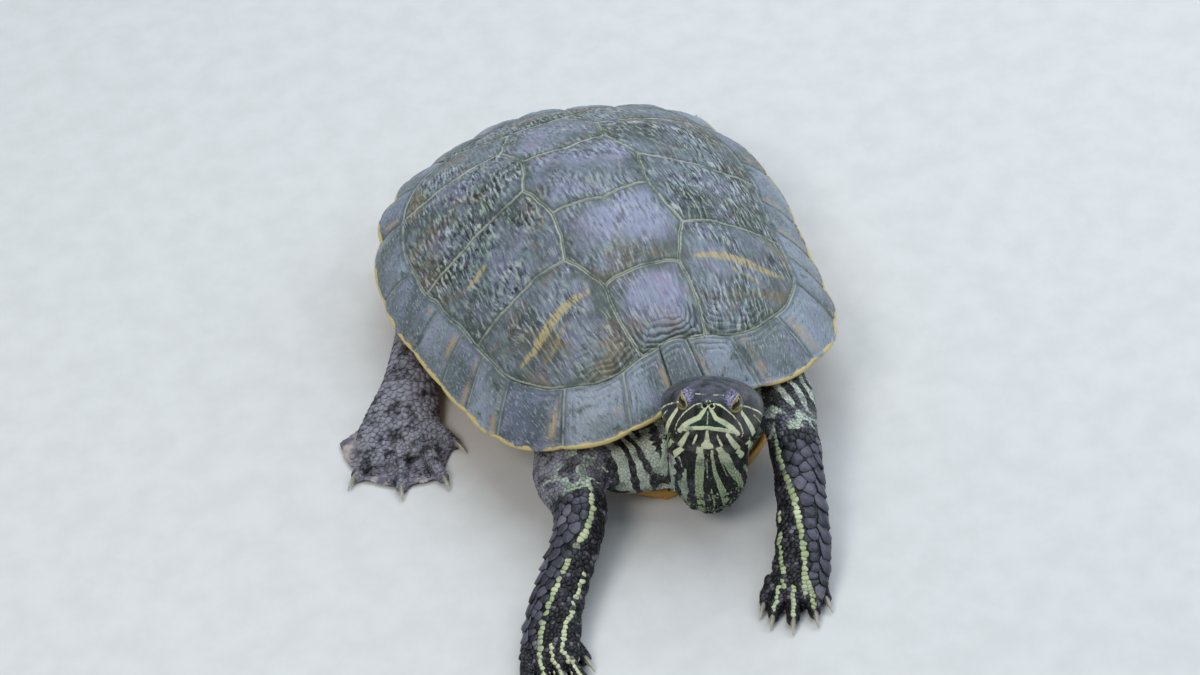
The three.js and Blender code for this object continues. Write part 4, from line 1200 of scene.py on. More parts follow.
VOXEL = 1.5
FIELD_LIMIT = 8.0
SLAB = 12
GRID_LOW = np.array((-156.0, -222.0, -3.0))
GRID_HIGH = np.array((110.0, 162.0, 108.0))


def flesh_surface():
    """The zero surface of the flesh's field as quads, about one voxel across."""
    counts = np.ceil((GRID_HIGH - GRID_LOW) / VOXEL).astype(int)
    values = np.empty(counts, np.float32)
    ys = GRID_LOW[1] + VOXEL * np.arange(counts[1])
    zs = GRID_LOW[2] + VOXEL * np.arange(counts[2])
    for start in range(0, counts[0], SLAB):
        xs = GRID_LOW[0] + VOXEL * np.arange(start, min(start + SLAB, counts[0]))
        block = np.stack(np.meshgrid(xs, ys, zs, indexing="ij"), -1)
        values[start:start + SLAB] = flesh_field(block.reshape(-1, 3)).reshape(block.shape[:3])
    grid = openvdb.FloatGrid(FIELD_LIMIT)
    grid.copyFromArray(np.clip(values, -FIELD_LIMIT, FIELD_LIMIT))
    verts, quads = grid.convertToQuads(0.0)
    return GRID_LOW + VOXEL * np.asarray(verts, float), np.asarray(quads)


def refined(verts, quads, near):
    """The mesh as triangles, after its edges near each kind of detail, one after the other, are halved."""
    mesh = bmesh.new()
    made = [mesh.verts.new(v) for v in verts]
    for face in quads:
        mesh.faces.new([made[i] for i in face])
    for chosen in near:
        mesh.verts.ensure_lookup_table()
        close = chosen(np.array([v.co for v in mesh.verts]))
        mesh.verts.index_update()
        edges = [e for e in mesh.edges if close[e.verts[0].index] and close[e.verts[1].index]]
        bmesh.ops.subdivide_edges(mesh, edges=edges, cuts=1, use_grid_fill=True)
    bmesh.ops.triangulate(mesh, faces=mesh.faces[:])
    mesh.verts.index_update()
    verts = np.array([v.co for v in mesh.verts])
    faces = np.array([[v.index for v in f.verts] for f in mesh.faces])
    mesh.free()
    return verts, faces


def slope(p, here, e=0.1):
    """The way that the flesh's field grows, where it is `here` now."""
    return np.stack([(flesh_field(p + shift) - here) / e for shift in np.eye(3) * e], -1)


def settled(verts, rounds=3, limit=0.9):
    """The vertices moved onto the field's zero surface, and its normals there."""
    for _ in range(rounds):
        here = flesh_field(verts)
        way = slope(verts, here)
        move = -way * (here / np.maximum((way**2).sum(1), 0.15))[:, None]
        size = np.linalg.norm(move, axis=1, keepdims=True)
        verts = verts + move * np.minimum(1, limit / np.maximum(size, 1e-9))
    return verts, unit(slope(verts - 0.05, flesh_field(verts - 0.05)))


# ------------------------------------------------------------------ markings, the same on skin and scales
# Pale stripes of the head, left side: [lateral, back, up] points in its frame, half widths.
HEAD_STRIPES = (
    (((1.3, -0.5, -0.7), (3.5, 0, -4.2), (7.4, 3.8, -6.3), (10.4, 9.5, -8.8), (12.6, 16, -11.2)),
     (0.7, 0.95, 1.1, 1.15, 0.9)),
    (((0, -0.3, -8.3), (4, 1.6, -8.6), (8.1, 6, -9.3), (12, 14, -10.8)), (0.75, 0.85, 0.8, 0.5)),
    (((0, -0.4, -1.6), (0, -0.4, -6.8)), (0.16, 0.2)),
    (((10.2, 7, -3.2), (13.0, 14.0, -6.9), (14.2, 18.3, -10.3), (13.4, 19.5, -12)), (0.25, 0.3, 0.32, 0.3)),
    (((13.0, 12.5, -1.2), (16, 19.6, -6), (18.1, 29.3, -11), (19, 38, -15.5), (18.5, 46, -19)),
     (0.8, 1.15, 1.3, 1.35, 1.2)),
    (((13.4, 14.5, 0.8), (14.8, 16.5, 0.7), (19.5, 26.5, -1.3), (21, 38, -4)), (0.22, 0.25, 0.3, 0.35)),
    (((4.0, 3.0, -11.2), (4.8, 6.8, -13.6), (6.2, 11, -16.2)), (0.35, 0.45, 0.4)),
    (((8.4, 7, -11.2), (10.5, 16.4, -14.9), (13.2, 30, -19), (14.5, 42, -22)), (0.8, 1.2, 1.35, 1.4)),
    (((0, 0.6, -10.2), (0, 3.0, -12.6), (0, 5.0, -14.2), (0, 7.4, -15.8), (0, 9.6, -17)),
     (0.6, 0.85, 1.3, 2.4, 2.5)),
    (((1.6, 3.8, 5.2), (4.2, 5, 5.4), (5.8, 6, 5.2)), (0.2, 0.22, 0.18)),
    (((2.3, -0.2, 1.9), (3.4, 0.1, 1.6), (6.3, 1.9, 0.2), (8.4, 4.4, -1.5), (10.5, 8, -3.4)),
     (0.26, 0.28, 0.28, 0.28, 0.22)),
    (((0.5, 0.2, 3.0), (1.4, -0.2, 1.9), (2.6, -0.3, 1.3)), (0.2, 0.3, 0.25)),
    (((10.8, 21, -8), (15.2, 31, -13), (16.5, 40, -17)), (0.2, 0.3, 0.3)),
    (((16.2, 24, -2.8), (20.2, 36, -7), (20.5, 44, -10)), (0.22, 0.28, 0.3)),
)
# Pale stripes down the throat, in the world frame, with half widths.
THROAT_STRIPES = (
    (((-14.4, -160.5, 69), (-14, -158, 64), (-12.5, -151, 52), (-12, -149, 44), (-13, -150, 36),
      (-12, -149, 24), (-10, -140, 8)),
     (1.3, 1.5, 1.9, 2.1, 1.6, 1.3, 1.2)),
    (((-7.6, -163.5, 68.5), (-6, -162, 64), (-1, -152, 50), (0.5, -151, 44), (2, -152, 38),
      (4, -151, 32), (7, -147, 21), (8, -140, 8)),
     (1.2, 1.4, 1.8, 2.0, 1.9, 1.5, 1.2, 1.0)),
    (((-10, -162, 66), (-6.5, -152, 50), (-6, -151, 42), (-4.5, -151, 30), (-2, -146, 15), (0, -140, 7)),
     (0.55, 0.7, 0.8, 1.2, 1.4, 1.3)),
    (((-17.5, -145, 42), (-16.5, -144, 30), (-16, -142, 16)), (0.7, 1.0, 0.9)),
    (((8, -148, 36), (11, -145, 26), (13, -140, 14)), (0.8, 1.0, 0.9)),
    (((-9.5, -162, 65), (-9.6, -152, 49), (-9.4, -151, 40)), (0.25, 0.35, 0.3)),
    (((-7, -162, 65), (-3, -152, 49), (-1.5, -151, 38)), (0.25, 0.35, 0.3)),
    (((-8.4, -151, 34), (-7.5, -150, 26), (-6, -144, 13)), (0.3, 0.45, 0.4)),
    (((0.5, -151, 33), (3, -149, 24), (5, -143, 12)), (0.3, 0.4, 0.4)),
)
# Along each foreleg: degrees round it from the inner side, at arc lengths from the shoulder.
LEG_MAIN = ((50, 45), (65, 45), (75, 55), (90, 77), (100, 83), (110, 92), (120, 100), (131, 109))
LEG_SECOND = ((90, 29), (103, 30), (113, 40), (120, 54), (128, 58))
# Where the zebra-striped loose skin gives way to the arm's own, as arc lengths from the shoulder.
LOOSE_SKIN_ENDS = {"foreleg_left": (38, 50), "other": (22, 34)}
# The row of big plates on a foreleg's outer edge: degrees round it, and arc lengths.
LEG_PLATES, PLATES_FROM, PLATES_TO, PLATE_LENGTH = 148, 66, 131, 6.8
ELBOW = 55
# The arc length down to which a foreleg's stripes have no breaks, and the share of breaks beyond.
STRIPE_WHOLE, BREAKS = 72, 0.13
# The value of `pale` far from any stripe.
NO_STRIPE = -20.0
# Which toes of a foreleg the stripes run on to, with where the toe's stripe starts.
TOE_STRIPES = {1: (127, 58), 2: (127, 82), 3: (129, 107)}


def stripe(points, normal, line, widths, reach):
    """Distance inside a stripe in mm, measured across the surface, for a line that varies in width."""
    line, widths = np.array(line, float), np.array(widths, float)
    best = np.full(len(points), NO_STRIPE)
    for a, b, wa, wb in zip(line[:-1], line[1:], widths[:-1], widths[1:]):
        rel = points - a
        deep = (rel * normal).sum(1)
        flat = rel - deep[:, None] * normal
        climb = (b - a) @ normal.T
        run = (b - a) - climb[:, None] * normal
        t = np.clip((flat * run).sum(1) / np.maximum((run**2).sum(1), 0.05), 0, 1)
        gap = np.linalg.norm(flat - t[:, None] * run, axis=1)
        off = np.abs(deep - t * climb)
        best = np.maximum(best, np.where(off < reach, wa + t * (wb - wa) - gap, NO_STRIPE))
    return best


def inside_stripes(points, normal, stripes, reach):
    """Distance inside the nearest of several stripes."""
    return np.max([stripe(points, normal, line, widths, reach) for line, widths in stripes], axis=0)


def head_share(p):
    """1 on the head, fading to 0 on the neck behind and below it."""
    q = in_head(p)
    behind = step(50, 42, q[:, 1]) * step(-26, -21, q[:, 2])
    return behind * step(31, 27, np.abs(q[:, 0]))


def leg_angle(name, p):
    """Degrees round a leg from its inner side over the top, and arc length down it."""
    angle, arc = legs[name].angle(p)
    angle = -angle if name.endswith("right") else 180 + angle
    return np.mod(angle + 180, 360) - 180, arc


def leg_point(name, arc, angle):
    """The point on a leg's surface at an arc length and an angle round it."""
    limb = legs[name]
    i = min(int(np.searchsorted(limb.arc, arc, "right")) - 1, len(limb.length) - 1)
    t = (arc - limb.arc[i]) / limb.length[i]
    centre = limb.centre[i] + t * limb.length[i] * limb.along[i]
    half = limb.half[i] + t * (limb.half[i + 1] - limb.half[i])
    turned = np.radians(-angle if name.endswith("right") else angle - 180)
    return centre + half[0] * np.cos(turned) * limb.across[i] + half[1] * np.sin(turned) * limb.over[i]


def leg_lines(name):
    """The pale stripes of a foreleg, or a hind leg's rows of toe scales: points and half widths."""
    ends = np.array(LEGS[name]["toes"], float)
    if name.startswith("hindleg"):
        return [(np.array([knuckle * 1.5 - tip * 0.5 + (0, 0, 3), tip + (0, 0, 2.6)]), np.full(2, 1.2))
                for knuckle, tip in ends]
    lines = []
    rng = np.random.default_rng(len(name) + 40)
    for track, half in ((LEG_MAIN, 1.05), (LEG_SECOND, 0.9)):
        at = np.arange(track[0][0], track[-1][0] + 1, 1.5)
        angle = np.interp(at, *np.array(track, float).T)
        broken = (at > STRIPE_WHOLE) & (rng.random(len(at)) < BREAKS)
        line = np.array([leg_point(name, a, g) for a, g in zip(at, angle)])
        lines.append((line, np.where(broken, -0.35, half * rng.uniform(0.75, 1.1, len(at)))))
    for number, start in TOE_STRIPES.items():
        knuckle, tip = ends[number]
        line = [leg_point(name, *start), knuckle + (0, 0, 3),
                (knuckle + tip) / 2 + (0, 0, 3.2), tip + (0, 0, 2.6)]
        lines.append((np.array(line), np.full(len(line), 0.75)))
    return lines


LEG_LINES = {name: leg_lines(name) for name in LEGS}


def leg_stripe(name, p, normal):
    """Distance inside the pale stripes that run down a leg to its toes."""
    best = np.full(len(p), NO_STRIPE)
    if name.startswith("hindleg"):
        return best
    for line, widths in LEG_LINES[name]:
        near = np.all((p > line.min(0) - 8) & (p < line.max(0) + 8), axis=1)
        best[near] = np.maximum(best[near], stripe(p[near], normal[near], line, widths, 5))
    return best


def leg_and_toes(name):
    """The limbs that make up one leg."""
    return [legs[name]] + [toe for (owner, _), toe in toes.items() if owner == name]


def nearest_leg(p):
    """The name of the leg each point is closest to, as an index, and the distance to that leg."""
    gaps = []
    for name in LEGS:
        gap = np.full(len(p), 60.0)
        for limb in leg_and_toes(name):
            near = np.all((p > limb.low - 10) & (p < limb.high + 10), axis=1)
            if near.any():
                gap[near] = np.minimum(gap[near], limb.field(p[near]))
        gaps.append(gap)
    gaps = np.stack(gaps)
    return gaps.argmin(0), gaps.min(0)


def loose_stripes(p):
    """Wavy pale streaks of the neck's sides and the loose skin of shoulders and thighs."""
    angle, arc = neck.angle(p)
    warp = rough(p, 13, 81, 2)
    lines = np.sin(np.radians(angle) * 14 + 2.6 * warp)
    dashes = np.sin(2 * np.pi * arc / 3.6 + 2.5 * rough(p, 9, 82, 2))
    neck_side = (lines + 0.3) + 0.45 * dashes + 0.4 * noise(p, (3, 5, 5), 83)
    across = np.sin(2 * np.pi * (p[:, 0] * 0.8 + 0.25 * p[:, 1]) / 5.6 + 3.2 * rough(p, 12, 85, 2))
    body = 1.1 * (across - 0.05) + 0.8 * noise(p, (4, 6, 6), 87) + 0.5 * noise(p, (1.6, 2.2, 2.2), 88)
    near_neck = step(12, 2, neck.field(p))
    return neck_side * near_neck + body * (1 - near_neck)


def pale_on_head(q, normal):
    """Distance inside the pale stripes of the head and the pale rings of the nostrils."""
    facing = normal @ HEAD_AXES
    facing[:, 0] *= np.sign(q[:, 0])
    on_left = mirrored(q)
    best = inside_stripes(on_left, facing, HEAD_STRIPES, 4)
    rim = np.hypot((on_left[:, 0] - NOSTRIL[0]) / 1.1, q[:, 2] - NOSTRIL[2])
    return np.where((q[:, 1] < 3) & (rim < 1.4), 0.3 - np.abs(rim - 1.05), best)


def face_marks(q, head):
    """Shares of the upper lid and crown, both with painted sheen, the ring round the eye and the beak's
    dark middle.
    """
    edge, far = lid_edge(q)
    _, _, above = eye_local(q)
    # The upper lid: where the painted violet sky sheen goes, and where the lid's wrinkles lie.
    lid = step(0.02, 0.2, above) * step(6.5, 2.0, edge) * step(EYE_RADIUS + 3, EYE_RADIUS + 1.4, far)
    ring = step(0.7, 0.1, np.abs(edge - 0.45)) * step(EYE_RADIUS + 2, EYE_RADIUS + 1, far)
    half = 0.4 + (-q[:, 2] - 0.9) * 1.02
    beak = step(0.5, -0.3, np.abs(q[:, 0]) - half) * (q[:, 2] > mouth_line(q)) * step(9, 5, q[:, 1])
    # The crown's share also carries the painted sky sheen of the top of the head.
    return dict(lid=lid * head, ring=ring * head, beak=beak * head, crown_and_sheen=step(-1, 5, q[:, 2]) * head)


def leg_marks(name, p, normal, pale):
    """On one leg: the pale marks with those of the loose skin above them, and shares of leg and dust."""
    _, arc = leg_angle(name, p)
    past = step(ELBOW - 6, ELBOW + 3, arc)
    marks = leg_stripe(name, p, normal)
    crease = 0.3 - 3.0 * np.abs(rough(p, 8, 89, 2))
    arm = step(*LOOSE_SKIN_ENDS.get(name, LOOSE_SKIN_ENDS["other"]), arc)
    dust = arm * (0.75 if name.startswith("hindleg") else 0.6 * step(ELBOW, ELBOW - 6, arc))
    upper = pale * (1 - arm) + crease * arm
    return np.where(past > 0.5, marks, np.maximum(upper, marks)), past, dust


def markings(p, normal):
    """For skin and scale points alike: pale (mm inside a stripe), and the shares of each kind of skin."""
    head = head_share(p)
    q = in_head(p)
    on_head = pale_on_head(q, normal)
    throat = inside_stripes(p, normal, THROAT_STRIPES, 14)
    in_front = step(-119, -129, p[:, 1]) * step(13, 8, np.abs(p[:, 0] + 3) - 4)
    loose = np.maximum(loose_stripes(p), np.where(in_front > 0.01, throat, NO_STRIPE))
    pale = np.where(in_front > 0.5, throat, loose)
    lower, dust = np.zeros((2, len(p)))
    which, gap = nearest_leg(p)
    for i, name in enumerate(LEGS):
        mine = (which == i) & ((gap < 4) | ((p[:, 2] < 3.5) & (gap < 30)))
        if mine.any():
            pale[mine], lower[mine], dust[mine] = leg_marks(name, p[mine], normal[mine], pale[mine])
    under_jaw = np.where(in_front > 0.02, np.maximum(on_head, throat), on_head)
    pale = np.where(head > 0.5, under_jaw, np.where(head > 0.02, np.maximum(pale, on_head), pale))
    return dict(pale=pale + 0.12 * noise(p, 3.5, 91), head=head, lower=lower * (1 - head),
                throat=in_front * (1 - head), dust=dust, **face_marks(q, head))


# ------------------------------------------------------------------ skin
def skin_relief(p, marks):
    """How far the skin stands out or in: folds on neck and joints, a fine grain all over."""
    head = marks["head"]
    loose = (1 - head) * (1 - 0.7 * marks["lower"])
    folds = 0.55 * noise(p, (9, 9, 3.2), 101) + 0.35 * noise(p, (4, 6, 2.2), 102)
    front = step(-128, -136, p[:, 1]) * (1 - head)
    ribs = 0.35 * np.cos(2 * np.pi * (p[:, 0] + 0.4 * noise(p, 9, 103)) / 5.2) * front
    grain = 0.07 * rough(p, 1.7, 104, 2)
    edge, _ = lid_edge(in_head(p))
    wrinkles = 0.14 * np.sin(2 * np.pi * edge / 1.25) * marks["lid"]
    soft = wrinkles + grain * (0.35 + 0.65 * (1 - head))
    return loose * folds * (1 - 0.6 * front) + ribs + soft - 0.25 * loose


def dark_skin(look, scales, patch, fine):
    """The dark ground: loose skin, legs, skull, the middle of the beak, with painted sky sheen on crown and
    upper lids.
    """
    loose = look.between(patch, 0.35, 0.65, (24, 26, 28), (58, 59, 60))
    leg = look.between(patch, 0.35, 0.65, (9, 10, 12), (30, 30, 35))
    if scales:
        tone = look.attribute("tone")
        leg = look.layer(leg, tone, 0.55, 1.0, 0.5, 64, 65, 71)
        plate = look.blend(tone, srgb(41, 41, 48), srgb(90, 89, 102))
        plate = look.layer(plate, fine, 0.54, 0.7, 0.35, 116, 118, 128)
        leg = look.blend(look.ramp(look.attribute("size"), 2.2, 3.4), leg, plate)
        loose = look.layer(loose, tone, 0.5, 1.0, 0.6, 94, 96, 92)
        worn = look.times(look.ramp(tone, 0.7, 0.9), look.ramp(patch, 0.5, 0.6))
        leg = look.blend(worn, leg, srgb(112, 110, 116))
    dusty = look.between(patch, 0.36, 0.6, (56, 55, 60), (158, 156, 166))
    dust = look.attribute("dust")
    loose = look.blend(dust, loose, dusty)
    loose = look.blend(look.times(look.attribute("throat"), 0.85), loose, srgb(14, 17, 15))
    skull = look.between(patch, 0.35, 0.65, (13, 15, 13), (38, 38, 33))
    # The crown's own dark grey, lightened towards blue-grey by a painted sky sheen on the top of the head.
    crown_and_sheen = look.between(patch, 0.35, 0.65, (38, 39, 44), (86, 88, 99))
    skull = look.blend(look.times(look.attribute("crown_and_sheen"), 0.8), skull, crown_and_sheen)
    body = look.blend(look.attribute("lower"), loose, look.blend(dust, leg, dusty))
    color = look.blend(look.attribute("head"), body, skull)
    color = look.blend(look.attribute("beak"), color, srgb(30, 50, 42))
    # Painted violet sky sheen with pale lilac highlights on the upper lids.
    lid = look.between(fine, 0.38, 0.62, (56, 52, 72), (156, 150, 182))
    return look.blend(look.attribute("lid"), color, lid)


def pale_skin(look, broad, patch):
    """The pale stripes: cream green on the head, greyer on loose skin, yellower on the legs."""
    on_head = look.between(broad, 0.35, 0.65, (196, 207, 164), (230, 231, 194))
    body = look.between(broad, 0.35, 0.65, (166, 181, 166), (206, 214, 198))
    body = look.layer(body, patch, 0.42, 0.6, 0.6, 108, 116, 106)
    body = look.blend(look.attribute("throat"), body, srgb(152, 167, 132))
    leg = look.between(broad, 0.35, 0.65, (156, 168, 124), (204, 209, 172))
    body = look.blend(look.attribute("lower"), body, leg)
    light = look.blend(look.attribute("head"), body, on_head)
    return look.layer(light, patch, 0.52, 0.72, 0.38, 122, 134, 110)


def skin_look(name, scales=False):
    """Dark skin: black-olive head, slate loose skin, black legs, all with pale green stripes."""
    look = Look(name, 0.42, 0.28, coat=0.05, coat_roughness=0.3)
    place = look.place()
    broad = look.noise(place, 45, 3)
    patch = look.noise(place, 160, 4, 0.6)
    fine = look.noise(place, 1100, 3, 0.6)
    head = look.attribute("head")
    striped = look.ramp(look.add(look.attribute("pale"), look.swing(fine, 0.5)), -0.12, 0.14)
    color = look.blend(striped, dark_skin(look, scales, patch, fine), pale_skin(look, broad, patch))
    color = look.blend(look.times(look.attribute("ring"), 0.8), color, srgb(160, 150, 92))
    web = look.add(look.attribute("web"), look.swing(patch, 0.9))
    color = look.layer(color, web, 0.02, 0.3, 0.8, 96, 88, 104)
    color = look.layer(color, web, 0.4, 0.85, 0.95, 214, 200, 186)
    if scales:
        color = look.layer(color, look.attribute("rim"), 0.6, 1.0, 0.85, 12, 13, 14)
    grain = look.times(look.cells(place, 780), look.math("SUBTRACT", 1.0, head))
    normal = look.bump(look.add(grain, look.times(fine, 0.5)), 0.3, 0.5)
    roughness = look.math("SUBTRACT", look.ramp(fine, 0.3, 0.7, 0.32, 0.5), look.times(head, 0.12))
    return look.finish(color, normal, roughness)


FLESH_NODES = ["trunk", "neck", "head", "lower_jaw", "tail"]
FLESH_NODES += [f"{name}_{part}" for name in LEGS for part in ("upper", "foot")]


def near_detail(p):
    """The head, throat and toe tips: where the skin's mesh is twice as fine."""
    q = in_head(p)
    head = (q[:, 1] < 44) & (np.abs(q[:, 0]) < 26) & (q[:, 2] > -27) & (q[:, 1] > -6)
    throat = (p[:, 1] < -138) & (np.abs(p[:, 0]) < 24) & (p[:, 2] > 6) & (p[:, 1] > -160)
    close = head | (throat & (np.abs(p[:, 0] + 4) < 20))
    for (name, _), toe in toes.items():
        box = np.all((p > toe.low + 5) & (p < toe.high - 5), axis=1)
        close |= box & (np.linalg.norm(p - toe.centre[-1], axis=1) < 12)
    return close


def near_face(p):
    """The eyes, beak and mouth: where it is finer again."""
    q = in_head(p)
    _, far = lid_edge(q)
    beak = (q[:, 1] < 5) & (np.abs(q[:, 0]) < 8) & (q[:, 2] > -11) & (q[:, 2] < 4)
    mouth = (np.abs(q[:, 2] - mouth_line(q)) < 1.3) & (q[:, 1] < MOUTH_CORNER + 3) & (np.abs(q[:, 0]) < 19)
    return (far < EYE_RADIUS + 2.6) | beak | mouth


def near_features(p):
    """The edges of the lids and the nostrils: where it is finest."""
    q = in_head(p)
    edge, far = lid_edge(q)
    nostril = np.linalg.norm(mirrored(q) - NOSTRIL, axis=1)
    return ((far < EYE_RADIUS + 1.6) & (np.abs(edge) < 1.9)) | (nostril < 2.4)


def web_share(p):
    """1 in the middle of the thin webs between the toes, fading out towards toes and foot."""
    _, off_toes = nearest_leg(p)
    low = step(3.4, 2.4, p[:, 2])
    inside = np.zeros(len(p))
    for leg in LEGS.values():
        near = np.all(np.abs(p[:, :2] - np.mean(leg["web"], 0)) < 40, axis=1)
        inside[near] = np.maximum(inside[near], step(1, -2, web_field(
            np.column_stack([p[near, :2], np.full(near.sum(), 0.6)]), leg["web"])))
    return low * step(0.4, 5.0, off_toes) * inside


def build_skin():
    """The one skin of all the flesh; comes back as its vertices, faces and smooth normals."""
    verts, quads = flesh_surface()
    verts, faces = refined(verts, quads, [near_detail, near_face, near_features])
    verts, normal = settled(verts)
    marks = markings(verts, normal)
    on_floor = verts[:, 2] < 0.35
    shown = verts + normal * np.where(on_floor, 0, skin_relief(verts, marks))[:, None]
    shown[:, 2] = np.maximum(shown[:, 2], 0)
    print("skin", len(shown), "vertices", len(faces), "triangles")
    mesh_piece("skin", shown, [faces], skin_look("turtle_skin"), "skin", FLESH_NODES,
               web=web_share(verts), **marks)
    return shown, faces, normal


# ------------------------------------------------------------------ scales
class Ground:
    """The finished skin, as the ground that scales are set on."""

    def __init__(self, verts, faces, normal):
        self.verts, self.faces, self.normal = verts, faces, normal
        self.tree = BVHTree.FromPolygons(verts.tolist(), faces.tolist())
        a, b, c = (verts[faces[:, i]] for i in range(3))
        self.area = np.linalg.norm(np.cross(b - a, c - a), axis=1) / 2
        self.middle = (a + b + c) / 3

    def drop(self, points):
        """The skin's nearest point to each point, and the smooth normal there."""
        find = self.tree.find_nearest
        hits = [find(p) for p in points.tolist()]
        place = np.array([tuple(hit[0]) for hit in hits])
        return place, unit(self.normal[self.faces[[hit[2] for hit in hits]]].mean(1))


NECK_MIDDLE = -3
AROUND = [(x, y, z) for x in (-1, 0, 1) for y in (-1, 0, 1) for z in (-1, 0, 1)]
# Roots may not lie closer than this share of their two sizes' sum.
CLOSENESS = 0.42
ROOT_DEPTH = 0.22
TRUNK_SPACING = {"front_left": 1.4, "front_right": 1.4, "rear": 1.9}
# A scale's thickness in mm: a least one, and so much more for each mm of its size.
LEG_THICKNESS, TRUNK_THICKNESS = (0.13, 0.085), (0.09, 0.1)
# How steeply scales rise to their free edge: plates, big and small leg scales, all the others.
PLATE_TILT, BIG_TILT, SMALL_TILT, TRUNK_TILT = 0.17, 0.1, 0.05, 0.02
PLATE_POINT = 0.45
# From this size on a leg's scale counts as a big one.
BIG_SCALE = 1.9


def spread(points, sizes, first):
    """The points kept when none may lie too close to one kept before it; the `first` ones all are."""
    cell = sizes.max() * 2 * CLOSENESS
    keys = np.floor(points / cell).astype(int).tolist()
    grid, kept = {}, []
    for i, ((x, y, z), s, (kx, ky, kz)) in enumerate(zip(points.tolist(), sizes.tolist(), keys)):
        if i >= first and crowded(grid, kx, ky, kz, x, y, z, s):
            continue
        grid.setdefault((kx, ky, kz), []).append((x, y, z, s))
        kept.append(i)
    return np.array(kept)


def crowded(grid, kx, ky, kz, x, y, z, s):
    """Whether a root in one cell of the grid is too close to one kept in it or in a cell beside it."""
    for dx, dy, dz in AROUND:
        for ox, oy, oz, other in grid.get((kx + dx, ky + dy, kz + dz), ()):
            if (x - ox) ** 2 + (y - oy) ** 2 + (z - oz) ** 2 < (CLOSENESS * (s + other)) ** 2:
                return True
    return False


def neighbours(points, count):
    """For each point, the numbers of those nearest to it."""
    tree = KDTree(len(points))
    for i, p in enumerate(points.tolist()):
        tree.insert(p, i)
    tree.balance()
    return np.array([[hit[1] for hit in tree.find_n(p, count + 1)][1:] for p in points.tolist()])


def scatter(ground, name, chosen, seed, fixed=None):
    """Roots of scales over the chosen skin triangles, the `fixed` ones first, eased to even gaps."""
    rng = np.random.default_rng(seed)
    faces = np.flatnonzero(chosen)
    size = spacing(name, ground.middle[faces])
    pick = np.repeat(faces, rng.poisson(ground.area[faces] / size**2 * 7))
    a, b = rng.random((2, len(pick)))
    over = a + b > 1
    a[over], b[over] = 1 - a[over], 1 - b[over]
    p0, p1, p2 = (ground.verts[ground.faces[pick, i]] for i in range(3))
    points = p0 + a[:, None] * (p1 - p0) + b[:, None] * (p2 - p0)
    points = points[rng.permutation(len(points))]
    sizes = spacing(name, points)
    first = 0
    if fixed is not None:
        points, sizes = np.vstack([fixed[:, :3], points]), np.concatenate([fixed[:, 3], sizes])
        first = len(fixed)
    kept = spread(points, sizes, first)
    points, sizes = points[kept], sizes[kept]
    near = neighbours(points, 8)
    for _ in range(4):
        away = points[:, None] - points[near]
        gap = np.maximum(np.linalg.norm(away, axis=2), 1e-6)
        want = (sizes[:, None] + sizes[near]) * 0.5
        push = (away / gap[:, :, None] * np.maximum(want - gap, 0)[:, :, None]).sum(1) * 0.22
        push[:first] = 0
        points = points + push
    place, normal = ground.drop(points)
    return place, normal, sizes, near


def outlines(place, normal, along, sizes, near, sides):
    """Where each scale's edge lies, in the directions about its root: halfway to its neighbours."""
    across = np.cross(normal, along)
    turn_by = 2 * np.pi * (np.arange(sides) + 0.5) / sides
    rel = place[near] - place[:, None]
    x = (rel * along[:, None]).sum(2)
    y = (rel * across[:, None]).sum(2)
    gap = x**2 + y**2
    weigh = 0.2 * (sizes[:, None] ** 2 - sizes[near] ** 2)
    toward = x[:, :, None] * np.cos(turn_by) + y[:, :, None] * np.sin(turn_by)
    edge = np.where(toward > 0.02, (gap + weigh)[:, :, None] / (2 * np.maximum(toward, 0.02)), 99)
    reach = np.clip(edge.min(1), 0.28 * sizes[:, None], 0.74 * sizes[:, None])
    return reach, turn_by, across


def scale_mesh(ground, place, normal, along, sizes, near, sides, thick, tilt, point):
    """Closed scales, thin at the root and raised at the free edge: vertices, faces and their owners."""
    reach, turn_by, across = outlines(place, normal, along, sizes, near, sides)
    lean = np.cos(turn_by)
    overlap = 1 + 0.16 * np.clip(tilt * 8, 0, 1)[:, None] * np.maximum(lean, 0) ** 2
    overlap = overlap + point[:, None] * np.maximum(np.cos(turn_by - 0.35), 0) ** 6
    reach = reach * overlap
    flat = reach[:, :, None] * (lean[:, None] * along[:, None]
                                + np.sin(turn_by)[:, None] * across[:, None])
    edge, _ = ground.drop((place[:, None] + flat).reshape(-1, 3))
    edge = edge.reshape(len(place), sides, 3)
    up, out = normal[:, None], edge - place[:, None]
    rise = thick[:, None, None] + (tilt[:, None] * reach * lean)[:, :, None]
    low = edge - up * ROOT_DEPTH
    wall = place[:, None] + out * 0.985 + up * np.maximum(0.5 * rise, 0.02)
    top = place[:, None] + out * 0.92 + up * np.maximum(rise, 0.05)
    middle = place + normal * (thick * 1.06)[:, None]
    root = place - normal * ROOT_DEPTH
    verts = np.concatenate([low, wall, top, middle[:, None], root[:, None]], 1)
    count = 3 * sides + 2
    start = (np.arange(len(place)) * count)[:, None, None]
    one = tube_faces(3, sides, inward=True, ends=(3 * sides + 1, 3 * sides))
    faces = [(f[None] + start).reshape(-1, f.shape[1]) for f in one]
    owner = np.repeat(np.arange(len(place)), count)
    rim = np.tile(np.concatenate([np.ones(2 * sides), np.full(sides, 0.3), [0, 1]]), len(place))
    return verts.reshape(-1, 3), faces, owner, rim


# How large one scale's patch of the map is, on a map that is 1 across.
BAKE_PATCH = 0.003


